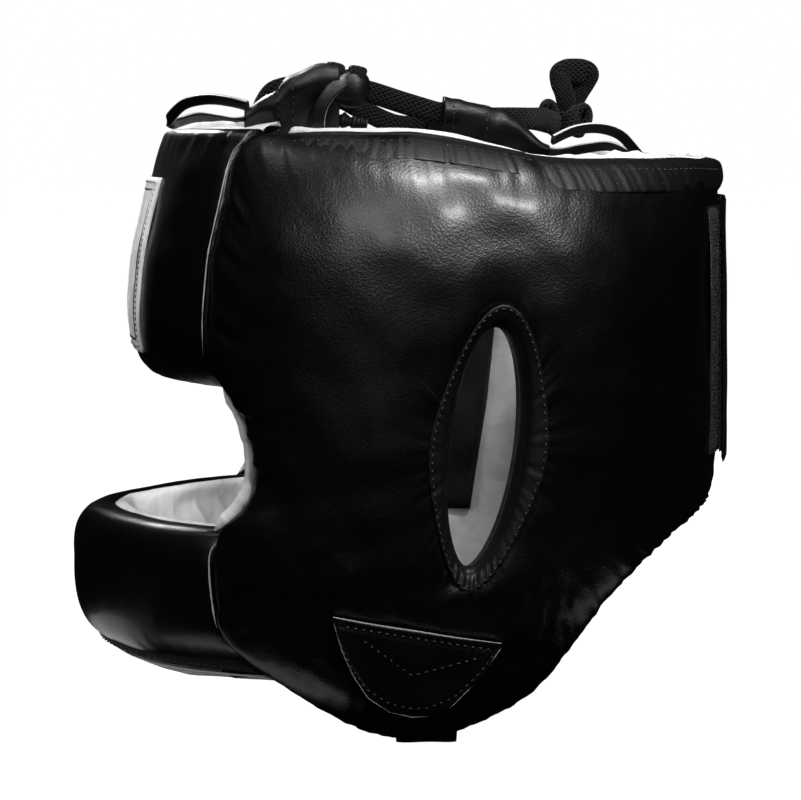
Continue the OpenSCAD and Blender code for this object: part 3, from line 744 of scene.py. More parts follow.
# forehead padding, and the two layers either side of the bar's core
padding_block("forehead_padding", np.array([156.0, 162, 172, 195, 220, 238, 246, 250]),
              np.array([10, 7, 4.5, 4, 4, 4.6, 6.5, 11.0]),
              np.array([20, 24, 25, 25, 25, 25, 23, 17.0]), 24, "forehead_foam")
padding_block("bar_padding_outer", np.array([38.0, 44, 52, 62, 72, 79, 84]),
              np.array([9, 6.4, 4.6, 4.2, 4.6, 6.2, 8.6]), np.full(7, 10.7), 30, "bar_outer_foam")
padding_block("bar_padding_inner", np.array([36.0, 46, 62, 78, 88]),
              np.full(5, 15.4), np.array([20.5, 22.5, 23, 22.5, 20.5]), 30, "bar_inner_foam")
for tag, flip in SIDES:
    side_padding(tag, flip)


# ---------------------------------------------------------------- forehead pad
def sewn_panel(name, path, count_u, seed, node, end_drop, puffs, close_at):
    """Leather swept round the front, drawn in at its sewn ends and closed inside the seams."""
    path = resample(spline(path, 8), 84)
    us = end_shares(count_u)
    a, z, depth = swept(lambda q: front_edge_angle(np.clip(q, SEAM_LOW, SEAM_HIGH)) - 0.18, path, us)
    along = way_along(path)
    end = (1 - np.abs(us))[:, None] * np.abs(a[-1])[None, :] * radius(0, z) * math.pi / 180
    base = shell(a, z, depth)
    across = a * 2.3
    h = 0.45 * waves(base, 64, seed) + 0.15 * waves(base, 24, seed + 1)
    h -= end_drop * edge_roll(end / 6.0)
    h += 0.16 * np.exp(-end / 7.0) * ripple(along[None, :] * np.ones_like(a), 9.0, seed + 2)
    for centre, wide, tall, pitch in puffs:
        near = np.exp(-((along[None, :] - centre * along[-1]) / wide) ** 2)
        h += tall * near * ripple(across, pitch, seed + 3)
    grid = shell(a, z, depth - h)
    middle = shell(np.array([a[0].mean()]), np.array([close_at[0]]), np.array([close_at[1]]))[0]
    other = middle * np.array([1, -1, 1])
    first, last = grid[0], grid[-1]
    # the ends are closed inside the seam
    low = other if first[:, 1].mean() * other[1] > 0 else middle
    high = middle if low is other else other
    grid = np.concatenate([
        (low + (first - low) * 0.05)[None], (low + (first - low) * 0.6)[None], grid,
        (high + (last - high) * 0.6)[None], (high + (last - high) * 0.05)[None]])
    ob = mesh_object(name, grid.reshape(-1, 3), grid_faces(*grid.shape[:2], flip=True), M_LEATHER, "shell")
    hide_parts(node)


FORE_PATH = [
    [BROW + 4.6, 25], [BROW + 0.8, 19], [BROW + 0.4, 13], [BROW + 4.4, 7.6], [BROW + 11, 4.4], [BROW + 22, 2.4],
    [BROW + 45, 1.5], [BROW + 70, 0.6], [BROW + 90, 0.2], [249.5, 0.9], [253.4, 2.4], [254.6, 6.5], [253, 10],
]
sewn_panel("forehead_leather", FORE_PATH, 140, 21, "forehead_cover", 1.6,
           ((0.93, 9, 0.14, 8.0), (0.1, 9, 0.12, 9.0)), (200, 14))


def forehead_suede():
    us = np.linspace(-1, 1, 120)
    path = resample(spline([
        [252.5, 10.5], [254.6, 11.5], [256.6, 14.5], [257, 19], [255.5, 24], [250, 27.6], [238, 28.4],
        [215, 28.2], [185, 28.2], [165, 28.3], [156, 27.6], [151.8, 25], [150.4, 20.5], [151.5, 18.5]], 7), 70)
    a, z, depth = swept(lambda q: front_edge_angle(np.clip(q, 150, SEAM_HIGH)) - 0.4, path, us)
    soft = 0.8 * waves(shell(a, z, depth), 24, 31)
    soft += 0.5 * ripple(a * 1.7, 13, 32) * np.exp(-((z - 255) / 9) ** 2)
    soft += 0.45 * ripple(a * 1.7, 10, 33) * np.exp(-((z - 152) / 8) ** 2)
    front = shell(a, z + 0.5 * soft * (z > 250), depth + 0.45 * soft)
    back = shell(a, np.clip(z, 152.5, 254.5) * 0.5 + z * 0.5, depth - 1.4)
    piece("forehead_suede", (front, back), M_SUEDE, "forehead_lining")


forehead_suede()

# ---------------------------------------------------------------- face bar
BAR_PATH = [
    [86.5, 24], [90.0, 22.5], [91.8, 17.8], [91.2, 11], [87.4, 6.6], [81.5, 3.6], [73, 1.9], [62, 1.4],
    [51, 1.9], [43.6, 3.8], [38, 7.4], [33.6, 12.4], [32.4, 16.6], [33, 20],
]
sewn_panel("bar_leather", BAR_PATH, 200, 41, "bar_cover", 1.6,
           ((0.12, 7, 0.16, 9.0), (0.86, 9, 0.1, 8.0)), (62, 13))


def bar_suede():
    """Lining of the bar in soft upright pleats, sagging a little over its lower rim."""
    us = np.linspace(-1, 1, 330)
    path = resample(spline([
        [90.2, 20], [91.6, 22.2], [91.2, 25.2], [88, 27.6], [79, 28.4], [62, 28.6], [46, 28.2], [36, 27],
        [29.5, 25.6], [25.2, 22.8], [24.8, 18.8], [28, 15.4]], 7), 64)
    a, z, depth = swept(lambda q: front_edge_angle(np.clip(q, SEAM_LOW, 97)) - 0.2, path, us)
    bent = a + 0.006 * np.clip(92 - z, 0, 60) ** 2
    pleat = np.abs(np.sin(bent * 2.35 * math.pi / 21 + 0.9 * np.sin(bent * 0.23)))
    fine = ripple(a * 2.4 + 0.05 * z, 9.0, 42)
    inside_part = np.clip((depth - 21) / 5, 0, 1)
    sag = 1.5 * np.exp(-((np.abs(a) - 26) / 7.0) ** 2) * np.clip((34 - z) / 5, 0, 1)
    soft = inside_part * (1.7 * pleat ** 0.4 - 1.3 + 0.15 * fine) + 0.35 * waves(shell(a, z, depth), 20, 43)
    end = np.clip((1 - np.abs(us))[:, None] * 12, 0, 1)
    front = shell(a, z - sag, depth + soft * (0.3 + 0.7 * end))
    back = shell(a, np.clip(z, 27, 91), depth - 1.6)
    piece("bar_suede", (front, back), M_SUEDE, "bar_lining")


def bar_binding():
    us = np.linspace(-1, 1, 160)
    path = resample(spline([
        [34.6, 10.2], [32.6, 10.4], [30.4, 12.2], [29.2, 14.8], [29.0, 18], [29.8, 20.4], [31.4, 20]], 6), 26)
    a, z, depth = swept(lambda q: front_edge_angle(np.clip(q, SEAM_LOW, 97)) - 1.0, path, us)
    wob = 0.25 * ripple(a * 2.4, 14, 44)
    grids = (shell(a, z + wob, depth), shell(a, z + wob + 1.2, depth + 0.3))
    piece("bar_binding", grids, M_BINDING, "bar_lower_binding")
    line = shell(us * 44.5, 32.2, 10.4)
    downward = outward(line) * 0.8 + np.array([0, 0, -0.6])
    stitch_row("bar_binding_stitches", line, downward)


def bar_end_tab(tag, flip):
    aa = np.linspace(37.6, 47.2, 20)
    drop = np.interp(aa, [37.6, 40.0, 47.2], [28.2, 25.4, 28.4])
    rows = np.linspace(0, 1, 9)
    z = 33.5 + (drop - 33.5)[:, None] * rows[None, :]
    depth = 17.2 + 1.2 * np.sin(rows * 2.6)[None, :] - 2.4 * rows[None, :] ** 2
    grids = [mirrored(shell(aa[:, None], z, depth + ply), flip) for ply in (0, 1.8)]
    piece(f"bar_end_tab_{tag}", grids, M_STRAP, f"bar_tab_{tag}")


bar_suede()
bar_binding()
for tag, flip in SIDES:
    bar_end_tab(tag, flip)

# ---------------------------------------------------------------- label, plain with a sewn border
LABEL_A, LABEL_LOW, LABEL_HIGH = 17.9, 160.3, 234.2
fore_line = resample(spline(FORE_PATH[4:10], 8), 60)


def on_fore(z):
    """Depth of the forehead pad's leather at height z."""
    return np.interp(z, fore_line[:, 0], fore_line[:, 1])


def label_frame(inset, lift):
    """A line round the label, the given distance inside its edge."""
    a0 = LABEL_A - inset / 2.25
    z0, z1 = LABEL_LOW + inset, LABEL_HIGH - inset
    corners = [(-a0, z0), (a0, z0), (a0, z1), (-a0, z1), (-a0, z0)]
    q = np.concatenate([np.linspace(p1, p2, 40, endpoint=False) for p1, p2 in zip(corners, corners[1:])])
    return shell(q[:, 0], q[:, 1], on_fore(q[:, 1]) - lift)


us = np.linspace(-1, 1, 46)
a, z = np.meshgrid(us * LABEL_A, np.linspace(LABEL_LOW, LABEL_HIGH, 34), indexing="ij")
cockle = 0.25 * waves(shell(a, z, 0), 22, 61)
grids = (shell(a, z, on_fore(z) - 1.7 - cockle * 0.5), shell(a, z, on_fore(z) - 0.15 - cockle * 0.3))
piece("forehead_patch", grids, M_LABEL, "forehead_label")
line = label_frame(2.0, 1.85)
stitch_row("label_stitches", line, outward(line), pitch=2.4, length=1.9, thick=0.26, material=M_LABEL_THREAD)
line = label_frame(5.2, 1.8)
rings = ribbon(line, 0.55, 0.16, np.cross(unit(np.gradient(line, axis=0)), outward(line)), 8)
tube_mesh("label_border_cord", rings, M_LABEL_THREAD, "shell", closed=True)

# ---------------------------------------------------------------- hems on the crown edge
top_edge = table_curve([
    [39, 250], [52, 252], [82, 252], [98, 250], [110, 246], [122, 242], [138, 241], [176, 241]], 3.0)
HEM = [(9.4, -0.6), (9.3, 0.15), (7.5, 0.6), (4.5, 1.0), (2, 1.2), (0.3, 1.1), (-0.9, 0.2), (-1.4, -2.0),
       (-1.3, -4.4), (-0.4, -6.2), (0.8, -6.9)]


def hem(tag, flip, name, node, a0, a1, tall, lift, seed, rows_at):
    """Folded leather over the crown edge: tall is how far it comes down outside."""
    rear = lift > 1
    aa = np.linspace(a0, a1, 190)
    prof = spline(HEM, 3)
    d = prof[:, 0] * np.where(prof[:, 0] > 0, tall / HEM[0][0], 1)
    up = prof[:, 1] * np.where(prof[:, 1] > 0, lift, 1)
    swell = np.clip((aa - 168) / 7.0, 0, 1) * (2.2 if rear else 0)
    s = aa[:, None] * 1.6 + 0 * d[None, :]
    gather = (0.05 * ripple(s, 9.0, seed) + 0.08 * ripple(s, 4.2, seed + 1)) * (1.4 if rear else 1.0)
    sway = 0.35 * ripple(s, 38.0, seed + 2)
    z = top_edge(aa)[:, None] - d[None, :] + sway * 0.7
    roll = edge_roll(np.clip(d, 0, 99) / EDGE_W)[None, :]
    depth = FRONT_ROLL * pad_at(aa)[:, None] * roll - up[None, :] - gather * 0.9
    depth = depth - swell[:, None] * np.clip(up, 0, 1)[None, :]
    front, back = shell(aa[:, None], z, depth), shell(aa[:, None], z - 0.1, depth + 1.3)
    grids = (mirrored(front, flip), mirrored(back, flip))
    piece(f"{name}_{tag}", grids, M_HEM, f"{node}_{tag}")
    for i, row in enumerate(rows_at):
        zr = top_edge(aa) - row + 0.25 * ripple(aa * 1.6, 38.0, seed + 2)
        over = float(np.interp(row, [0.3, 2, 4.5, 7.5, 9.3], [1.1, 1.2, 1.0, 0.6, 0.15]))
        dr = FRONT_ROLL * pad_at(aa) * edge_roll(row / EDGE_W) - over * lift - 0.12
        line = mirrored(shell(aa, zr, dr), flip)
        stitch_row(f"{name}_stitches_{i + 1}_{tag}", line, outward(line), pitch=3.3, length=2.0)


for tag, flip in SIDES:
    hem(tag, flip, "crown_edge_hem", "crown_hem", 41.0, 117.0, 9.4, 0.6, 70 + flip, (2.2,))
    hem(tag, flip, "rear_edge_hem", "rear_hem", 117.5, 176.2, 12.4, 1.25, 73 + flip, (3.2, 8.8))

# ---------------------------------------------------------------- ear opening: binding and inside facing
EAR_STITCH = 6.2
FACING_LOW, FACING_HIGH = 69.2, 188.0


def ear_binding(tag, flip):
    """Band folded round the edge of the opening and down its wall, with a row of stitches."""
    prof = spline([[7.7, 0.1], [7.8, -0.7], [6.6, -1.1], [4.4, -1.05], [2.4, -1.1], [0.9, -1.0], [-0.5, -0.3],
                   [-1.5, 1.3], [-1.9, 3.4]], 3)
    d = np.broadcast_to(prof[:, 0], (COLUMNS, len(prof)))
    flat = side_flat(d)
    a, z = flat[..., 0] / ARC, flat[..., 1]
    s = EAR_S[:, :1] * np.ones_like(d)
    crumple = np.clip((84 - z) / 9, 0, 1)
    gather = 0.07 * ripple(s, 7.5, 90 + flip) + (0.05 + 0.5 * crumple) * ripple(s, 4.4, 91 + flip)
    base = FRONT_ROLL * SIDE_PAD * edge_roll(np.clip(d, 0, 99) / EAR_EDGE_W) + prof[None, :, 1]
    outer = shell(a, z, base - gather * np.clip(d + 1, 0, 3) / 3)
    ends = np.array([0.28, 0.5, 0.72, 0.9, 1.0])
    wall_depth = FRONT_ROLL * SIDE_PAD + (SIDE_PAD * 0.6 - FRONT_ROLL * SIDE_PAD) * ends
    flat = side_flat(np.broadcast_to(-1.9 + 0.5 * ends, (COLUMNS, 5)))
    wall = shell(flat[..., 0] / ARC, flat[..., 1], wall_depth[None, :])
    grid = mirrored(np.concatenate([outer, wall], 1), flip)
    ob = mesh_object(f"ear_binding_band_{tag}", grid.reshape(-1, 3),
                     grid_faces(*grid.shape[:2], loop=True, flip=flip), M_HEM, "shell")
    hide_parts(f"ear_binding_{tag}")
    flat = side_flat(np.full((COLUMNS, 1), EAR_STITCH))[:, 0]
    depth = FRONT_ROLL * SIDE_PAD * edge_roll(EAR_STITCH / EAR_EDGE_W) - 1.3
    line = resample(mirrored(shell(flat[:, 0] / ARC, flat[:, 1], depth), flip), 400, True)
    stitch_row(f"ear_stitches_{tag}", line, outward(line), pitch=3.2, length=2.0, closed=True)


def facing_rear(z):
    """Angle of the straight rear edge that the facing and the dark sheet behind the right ear, painted shade,
    share.
    """
    return 110.4 + (z - FACING_LOW) * 0.0725


def facing_reach(start, c, s):
    """How far the facing goes from the middle of the opening, in the direction with cosine c and sine s."""
    for r in np.linspace(start + 2, start + 40, 200):
        x, z = EAR_A * ARC + r * c, EAR_Z + r * s
        front = (86.5 + (z - FACING_LOW) * 0.05) * ARC
        if x > facing_rear(z) * ARC or x < front or z < FACING_LOW + 0.3 or z > FACING_HIGH:
            return r


def ear_facing(tag, flip):
    """Leather round the opening on the inside, cut square at the bottom and straight at the rear."""
    turn = np.linspace(0, 2 * math.pi, 200, endpoint=False)
    near = ear_radius(turn)
    far = np.array([facing_reach(r, math.cos(t), math.sin(t)) for r, t in zip(near, turn)])
    middle = np.array([EAR_A * ARC, EAR_Z])
    way = np.stack([np.cos(turn), np.sin(turn)], -1)
    inner = middle + (near + 0.4)[:, None] * way
    outer = middle + far[:, None] * way
    flat = inner[:, None] + (outer - inner)[:, None] * np.linspace(0, 1, 8)[None, :, None]
    a, z = flat[..., 0] / ARC, flat[..., 1]
    roll = edge_roll(np.linalg.norm(flat - inner[:, None], axis=-1) / EAR_EDGE_W)
    depth = pad_at(a) * (1 - BACK_ROLL * roll)
    grids = (mirrored(shell(a, z, depth + 1.9), flip), mirrored(shell(a, z, depth - 0.2), flip))
    piece(f"ear_inside_facing_{tag}", grids, M_STRAP, f"ear_facing_{tag}", loop=True)


for tag, flip in SIDES:
    ear_binding(tag, flip)
    ear_facing(tag, flip)

# ---------------------------------------------------------------- lacing at the crown
LACE = [
    [68, -9, 257], [61, -24, 259], [52, -38, 259], [43, -45, 259], [30, -46, 259], [18, -46, 260],
    [0, -46, 265],
    [-16, -46, 270], [-28, -46, 272], [-45, -46, 272], [-55, -45, 270], [-61, -38, 264], [-63, -26, 260],
    [-63, -12, 259], [-63, 0, 259], [-63, 12, 259], [-63, 26, 260], [-61, 38, 264], [-55, 45, 270],
    [-45, 46, 272],
    [-30, 46, 271], [-16, 46, 264], [0, 46, 257], [14, 46, 257], [22, 46, 259], [43, 45, 259], [52, 38, 259],
    [61, 24, 259], [68, 9, 257],
]
route = resample(spline(LACE, 14), 560)
lace = tube_mesh("crown_lace_braid", ribbon(route, 4.6, 2.1, UP, 26), M_BRAID, "shell")
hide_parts("crown_lace")

# knot: the lace's two ends wrapped into a lump, with two short ears above it
t = np.linspace(0, 2 * math.pi, 150, endpoint=False)
trefoil = np.stack([(np.sin(t) + 2 * np.sin(2 * t)) * 2.5, (np.cos(t) - 2 * np.cos(2 * t)) * 2.6,
                    -np.sin(3 * t) * 3.6], -1)
knot_route = trefoil + np.array([73.5, 0, 258.0])
knot = tube_mesh("lace_knot_wraps", ribbon(knot_route, 3.7, 2.3, UP, 18), M_BRAID, "shell",
                 closed=True)
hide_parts("lace_knot")
bow_route = np.array([
    [73.6, -2.4, 262], [73.0, -3.0, 266.5], [71.9, -2.8, 271], [70.4, -2.0, 275.0], [70.6, -1.2, 278.4],
    [73.0, -0.4, 279.4], [76.6, 0.2, 279.6], [80.6, 0.7, 279.4], [82.8, 1.2, 278.4], [82.0, 1.6, 275.0],
    [79.6, 1.8, 271], [77.2, 1.6, 266.5], [76.2, 1.2, 262],
])
bow_path = resample(spline(bow_route, 12), 170)
tang = unit(np.gradient(bow_path, axis=0))
inplane = np.cross(tang, np.array([0.05, 1.0, 0.0]))
wide = 4.3 + 1.7 * np.exp(-((np.arange(170) - 85) / 26.0) ** 4)
bow = tube_mesh("lace_bow_loop", ribbon(bow_path, wide, 2.0, inplane, 22), M_BRAID, "shell")
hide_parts("lace_bow")
for i, (c, s, lean) in enumerate((((65.6, -2.2, 261.4), 1.0, -0.12), ((80.6, -1.5, 260.2), 0.9, 0.1))):
    u = np.linspace(0, 2 * math.pi, 90, endpoint=False)
    loop = np.stack([np.cos(u) * 2.7 * s, np.sin(2 * u) * 0.5, np.sin(u) * 4.3 * s], -1)
    cl, sl = math.cos(lean), math.sin(lean)
    loop = np.stack([loop[:, 0] * cl + loop[:, 2] * sl, loop[:, 1], -loop[:, 0] * sl + loop[:, 2] * cl], -1)
    loop = loop + np.array(c)
    tube_mesh(f"lace_bow_ear_{i + 1}", ribbon(loop, 4.2, 2.2, np.array([0.1, 1, 0.1]), 16), M_BRAID,
                          "shell", closed=True)
wrap_u = np.linspace(0, 2 * math.pi, 100, endpoint=False)
WRAPS = (((-22.5, -46, 272.4), 4.4, 6.6, 0.35), ((-28.5, -46, 273.6), 4.0, 6.8, -0.15))
for i, (c, ry, rz, tilt) in enumerate(WRAPS):
    loop = np.stack([rz * np.sin(wrap_u) * tilt, ry * np.cos(wrap_u), rz * np.sin(wrap_u)], -1) + np.array(c)
    tube_mesh(f"lace_wrap_{i + 1}", ribbon(loop, 4.0, 1.7, np.array([1.0, 0, -0.2]), 16), M_BRAID,
                           "shell", closed=True)


def edge_core_and_highlight(ob, sides):
    """Shows the paler split leather along both edges of a flat strip, whose rings have this many sides; the
    pale edges also paint the highlight on the strip's edge.
    """
    ob.data.materials.append(M_RAW_EDGE_AND_HIGHLIGHT)
    middles = ({sides - 1, 0, 1}, {sides // 2 - 1, sides // 2, sides // 2 + 1})
    for poly in ob.data.polygons:
        at = {v % sides for v in poly.vertices}
        if len(poly.vertices) == 4 and any(at <= middle for middle in middles):
            poly.material_index = 1


def thong(name, pts, node):
    """Flat leather strip seen on edge: black faces with the lighter core between them, which also paints the
    highlight on its edge.
    """
    route = resample(spline(pts, 14), 220)
    rings = ribbon(route, 2.3, 1.1, np.array([0.0, -0.6, 0.8]), 32, power=0.45)
    ob = tube_mesh(name, rings, M_THONG, "shell")
    edge_core_and_highlight(ob, 32)
    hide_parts(node)


thong("front_leather_thong", [
    [-66, -48, 264], [-74, -43, 266], [-84, -33, 267], [-94, -18, 265], [-101, -6, 259], [-100, 0, 257],
    [-97, 7, 258],
    [-90, 18, 260], [-82, 29, 259], [-75, 38, 258], [-68, 47, 259]], "front_thong")
thong("rear_leather_thong", [
    [62, -44, 250], [72, -37, 254], [84, -27, 255], [95, -17, 252], [104, -9, 244], [111, -4, 237],
    [114, 0, 234],
    [112, 4, 236], [106, 12, 242], [97, 21, 247], [86, 30, 246], [75, 38, 244], [66, 44, 246]], "rear_thong")


LACE_Y = 46.0


def keeper(name, node, flip, x0, x1, tops, foot, seed, rows_x):
    """Folded leather tab: over the lace and down to the panel, with its two plies sewn together below."""
    xs = np.linspace(x0, x1, 46)
    top = np.interp(xs, *zip(*tops))
    k = np.exp(-0.5 * (np.arange(-6, 7) / 2.5) ** 2)
    top = np.convolve(np.pad(top, 6, mode="edge"), k / k.sum(), mode="valid")
    half = np.array([
        [2.2, -99], [2.6, -17.5], [4.6, -12], [6.8, -8.2], [7.2, -5.2], [5.8, -2.2], [3.2, -0.5], [0, 0]])
    whole = np.concatenate([half * np.array([-1, 1]), half[::-1][1:]])
    outside, inside = [], []
    for x, zt in zip(xs, top):
        squeeze = min(1.0, (zt - foot) / 24.0)
        p = whole.copy()
        p[:, 1] = np.maximum(p[:, 1] * squeeze, foot - zt)
        p[:, 0] *= 0.55 + 0.45 * squeeze
        p = resample(spline(p, 5), 64)
        tangent = np.gradient(p, axis=0)
        q = p - unit(np.stack([-tangent[:, 1], tangent[:, 0]], -1)) * 1.5
        soft = 0.22 * ripple(np.array([x]), 9.0, seed)[0]
        for ply, out in ((p, outside), (q, inside)):
            out.append(np.stack([np.full(64, x), ply[:, 0] - LACE_Y, ply[:, 1] + zt + soft], -1))
    outside, inside = np.array(outside), np.array(inside)
    bend = 0.35 * waves(outside, 16, seed + 1)[..., None] * np.array([0, 1, 0.4])
    outside, inside = outside + bend, inside + bend
    piece(name, (mirrored(outside, flip), mirrored(inside, flip)), M_HEM, node)
    for n, x in enumerate(rows_x):
        col = int(np.argmin(np.abs(xs - x)))
        line = mirrored(outside[col, 3:30] + np.array([0, -0.2, 0]), flip)
        away = np.broadcast_to(np.array([0, 1.0 if flip else -1.0, 0]), line.shape)
        stitch_row(f"{name}_stitches_{n + 1}", line, away, pitch=3.2, length=2.0)


def front_tab_end(tag, flip):
    """Rounded end of the front tab, closed round the lace."""
    along = np.linspace(0, 1, 40)
    core = mirrored(np.stack([-31.5 + 16.5 * along, -46 + 0 * along, 272.2 - 1.6 * along], -1), flip)
    swell = (6.2 + 1.9 * np.sin(along * 2.6)) * np.sqrt(np.clip(1.02 - along ** 7, 0.1, 1))
    rings = ribbon(core, swell, 0.82 * swell, UP, 28, power=0.85)
    rings = rings + 0.25 * waves(rings, 9, 240 + flip)[..., None] * np.array([0, 1, 0.6])
    tube_mesh(f"front_tab_end_{tag}", rings, M_HEM, "shell")


def front_tab_loop(tag, flip):
    """Thin strap beside the front tab, bowed up to the lace."""
    pts = [[-36.5, -51.5, 250.5], [-37.0, -52.8, 257], [-35.5, -53.6, 264], [-31.5, -53.4, 270],
           [-26.0, -51.8, 274],
           [-21, -49, 275.5]]
    route = mirrored(resample(spline(pts, 10), 70), flip)
    wide = unit(np.cross(unit(np.gradient(route, axis=0)), np.array([0.2, 1.0, 0])))
    ob = tube_mesh(f"front_tab_loop_{tag}", ribbon(route, 2.9, 0.9, wide, power=0.45), M_THONG, "shell")
    edge_core_and_highlight(ob, 16)


for tag, flip in SIDES:
    keeper(f"front_lace_tab_{tag}", f"front_keeper_{tag}", flip, -67.5, -28.0,
           [(-67.5, 262.5), (-63, 264.5), (-58, 269), (-50, 275.5), (-43, 279.6), (-36, 281.4), (-28, 281.8)],
           249.5, 100 + flip, (-53.5, -47.0))
    keeper(f"rear_lace_tab_{tag}", f"rear_keeper_{tag}", flip, 15.5, 60.0,
           [(15.5, 268), (24, 266.6), (38, 263.2), (44, 261), (52, 253.5), (60, 247)],
           240.5, 110 + flip, (19.0, 33.0))
    front_tab_end(tag, flip)
    front_tab_loop(tag, flip)


# ---------------------------------------------------------------- edges: suede roll, and raw-edge piping that also paints the seam highlights
def round_rings(path, swell, wide, sides):
    """Round rings along a path, with a radius given for each of its points."""
    rings = ribbon(path, 1.0, 1.0, wide, sides, power=1.0)
    return path[:, None] + (rings - path[:, None]) * swell[:, None, None]


def edge_cord(name, angles, zs, depths, radii, material, flip, seed, rough=0.12):
    path = mirrored(shell(angles, zs, depths), flip)
    s = way_along(path)
    swell = radii * (1 + rough * ripple(s, 11.0, seed) + rough * 0.5 * ripple(s, 4.6, seed + 1))
    tube_mesh(name, round_rings(path, swell, outward(path), 14), material, "shell")


def taper(count, length, least):
    """Shares that rise from least to 1 over a line's first points and fall again over its last ones."""
    k = np.arange(count)
    return np.clip(np.minimum(k, count - 1 - k) / length, least, 1)


def seam_edges(tag, flip):
    """Suede roll along the face opening, and thin pale raw-edge cords in the seams of the forehead pad and the
    bar, which paint the highlight line along those seams.
    """
    line = resample(spline([[43.2, 149.5], [44.6, 145.5], [47.2, 138.5], [49.2, 129], [50.2, 119], [49.8, 109],
                            [48.2, 101], [46.4, 95.5], [45.0, 92.0]], 12), 150)
    share = np.clip((149.5 - line[:, 1]) / 55, 0, 1)
    edge_cord(f"face_edge_roll_{tag}", line[:, 0] - (1.25 + 0.05 * share), line[:, 1], 8.6 - 1.2 * share,
              (1.7 + 1.2 * share) * taper(150, 12.0, 0.05) ** 0.5, M_SUEDE, flip, 200 + flip, 0.05)
    # pale raw-edge cords that paint the highlight line along the seams of the forehead pad and the bar
    zs = np.linspace(251, 163, 160)
    edge_cord(f"forehead_seam_painted_highlight_{tag}", front_edge_angle(np.clip(zs, SEAM_LOW, SEAM_HIGH)) - 0.1, zs,
              0.3 + 5.0 * np.clip((zs - 246) / 6, 0, 1) ** 2,
              0.3 * taper(160, 20.0, 0.1) * np.clip((zs - 150) / 45, 0.25, 0.8), M_RAW_EDGE_AND_HIGHLIGHT, flip,
              210 + flip)
    zs = np.linspace(88, 52, 90)
    edge_cord(f"bar_seam_painted_highlight_{tag}", front_edge_angle(zs) - 0.1, zs,
              1.3 + 3.0 * np.clip((zs - 82) / 6, 0, 1) ** 2, 0.34 * taper(90, 16.0, 0.1),
              M_RAW_EDGE_AND_HIGHLIGHT, flip, 215 + flip)


def ear_backing():
    """Slack dark leather behind the right ear opening only, a painted shade that darkens the view through the
    far ear opening.
    """
    front, degree = 88.0, 1.92
    z = np.linspace(FACING_LOW, 184, 60)
    rear = facing_rear(z)
    a = front + (rear - front)[None, :] * np.linspace(0, 1, 40)[:, None]
    z = np.broadcast_to(z, a.shape)
    border = np.minimum(np.minimum((rear[None, :] - a) * degree, (a - front) * degree),
                        np.minimum(z - FACING_LOW, 184 - z))
    depth = 24.6 - 2.2 * np.exp(-border / 2.5) + 0.5 * waves(shell(a, z, 24), 26, 220)
    grids = [mirrored(shell(a, z, depth + ply), True)[:, ::-1] for ply in (0, 1.2)]
    piece("ear_backing_painted_shade", grids, M_STRAP, "ear_backing_right")


def tab_sleeve():
    """Crinkled leather sleeve on the lower lace beside the far front tab."""
    along = np.linspace(0, 1, 60)
    path = np.stack([-32 + 19 * along, 47.5 - 1.5 * along, 260.2 - 3.4 * along], -1)
    swell = 3.1 + 0.45 * ripple(along * 19, 4.4, 230) + 0.2 * ripple(along * 19, 2.2, 231)
    tube_mesh("front_tab_sleeve", round_rings(path, swell, UP, 20), M_HEM, "shell")


for tag, flip in SIDES:
    seam_edges(tag, flip)
ear_backing()
tab_sleeve()


# ---------------------------------------------------------------- back: tapes, flap and its sewn root
def back_sheet(name, node, a0, a1, z0, z1, depth, thick, material, body, seed, count=40):
    """A sheet on the back of the shell, thinner at its edges and pressed down towards its top."""
    a, z = np.meshgrid(np.linspace(a0, a1, count), np.linspace(z0, z1, 60), indexing="ij")
    edge = np.minimum(np.minimum(a - a0, a1 - a) * 2.3, np.minimum(z - z0, z1 - z))
    thin = thick * 0.5 * (1 - np.clip(edge / 0.8, 0.0, 1.0) ** 0.5) * 0.7
    wav = 0.22 * waves(shell(a, z, 0), 34, seed)
    press = 1 - 0.38 * np.clip((z - 125) / 90, 0, 1) * np.clip((199 - a) / 8, 0, 1)
    front = shell(a, z, (depth - thick) * press + thin - wav * 0.5)
    back = shell(a, z, depth * press - thin - wav * 0.3)
    v, f = sheet_solid(front, back)
    ob = mesh_object(name, v, f, material, body)
    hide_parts(node)
    return ob


def fuzz(name, a0, a1, z0, z1, depth, count, long, seed):
    """Short bent filaments of the tape on the shell."""
    r = np.random.default_rng(seed)
    a = r.uniform(a0, a1, count)
    z = r.uniform(z0, z1, count)
    p = shell(a, z, depth)
    n = outward(p)
    turn = r.uniform(0, 2 * math.pi, count)
    lean = np.cos(turn)[:, None] * np.cross(n, UP) + np.sin(turn)[:, None] * UP
    lean = lean * r.uniform(0.2, 0.9, count)[:, None]
    reach = long * r.uniform(0.6, 1.2, count)[:, None]
    half_width = 0.09
    mid = p + n * reach * 0.6 + lean * reach * 0.35
    tip = p + n * reach * 0.75 + lean * reach * 0.95
    verts, faces = [], []
    for i in range(count):
        b = len(verts)
        s = np.cross(n[i], lean[i])
        s = s / max(np.linalg.norm(s), 1e-6) * half_width
        verts += [p[i] - s, p[i] + s, mid[i] + s, mid[i] - s, tip[i]]
        faces += [(b, b + 1, b + 2, b + 3), (b + 3, b + 2, b + 4)]
    mesh_object(name, verts, faces, M_TAPE, "shell", smooth=False)


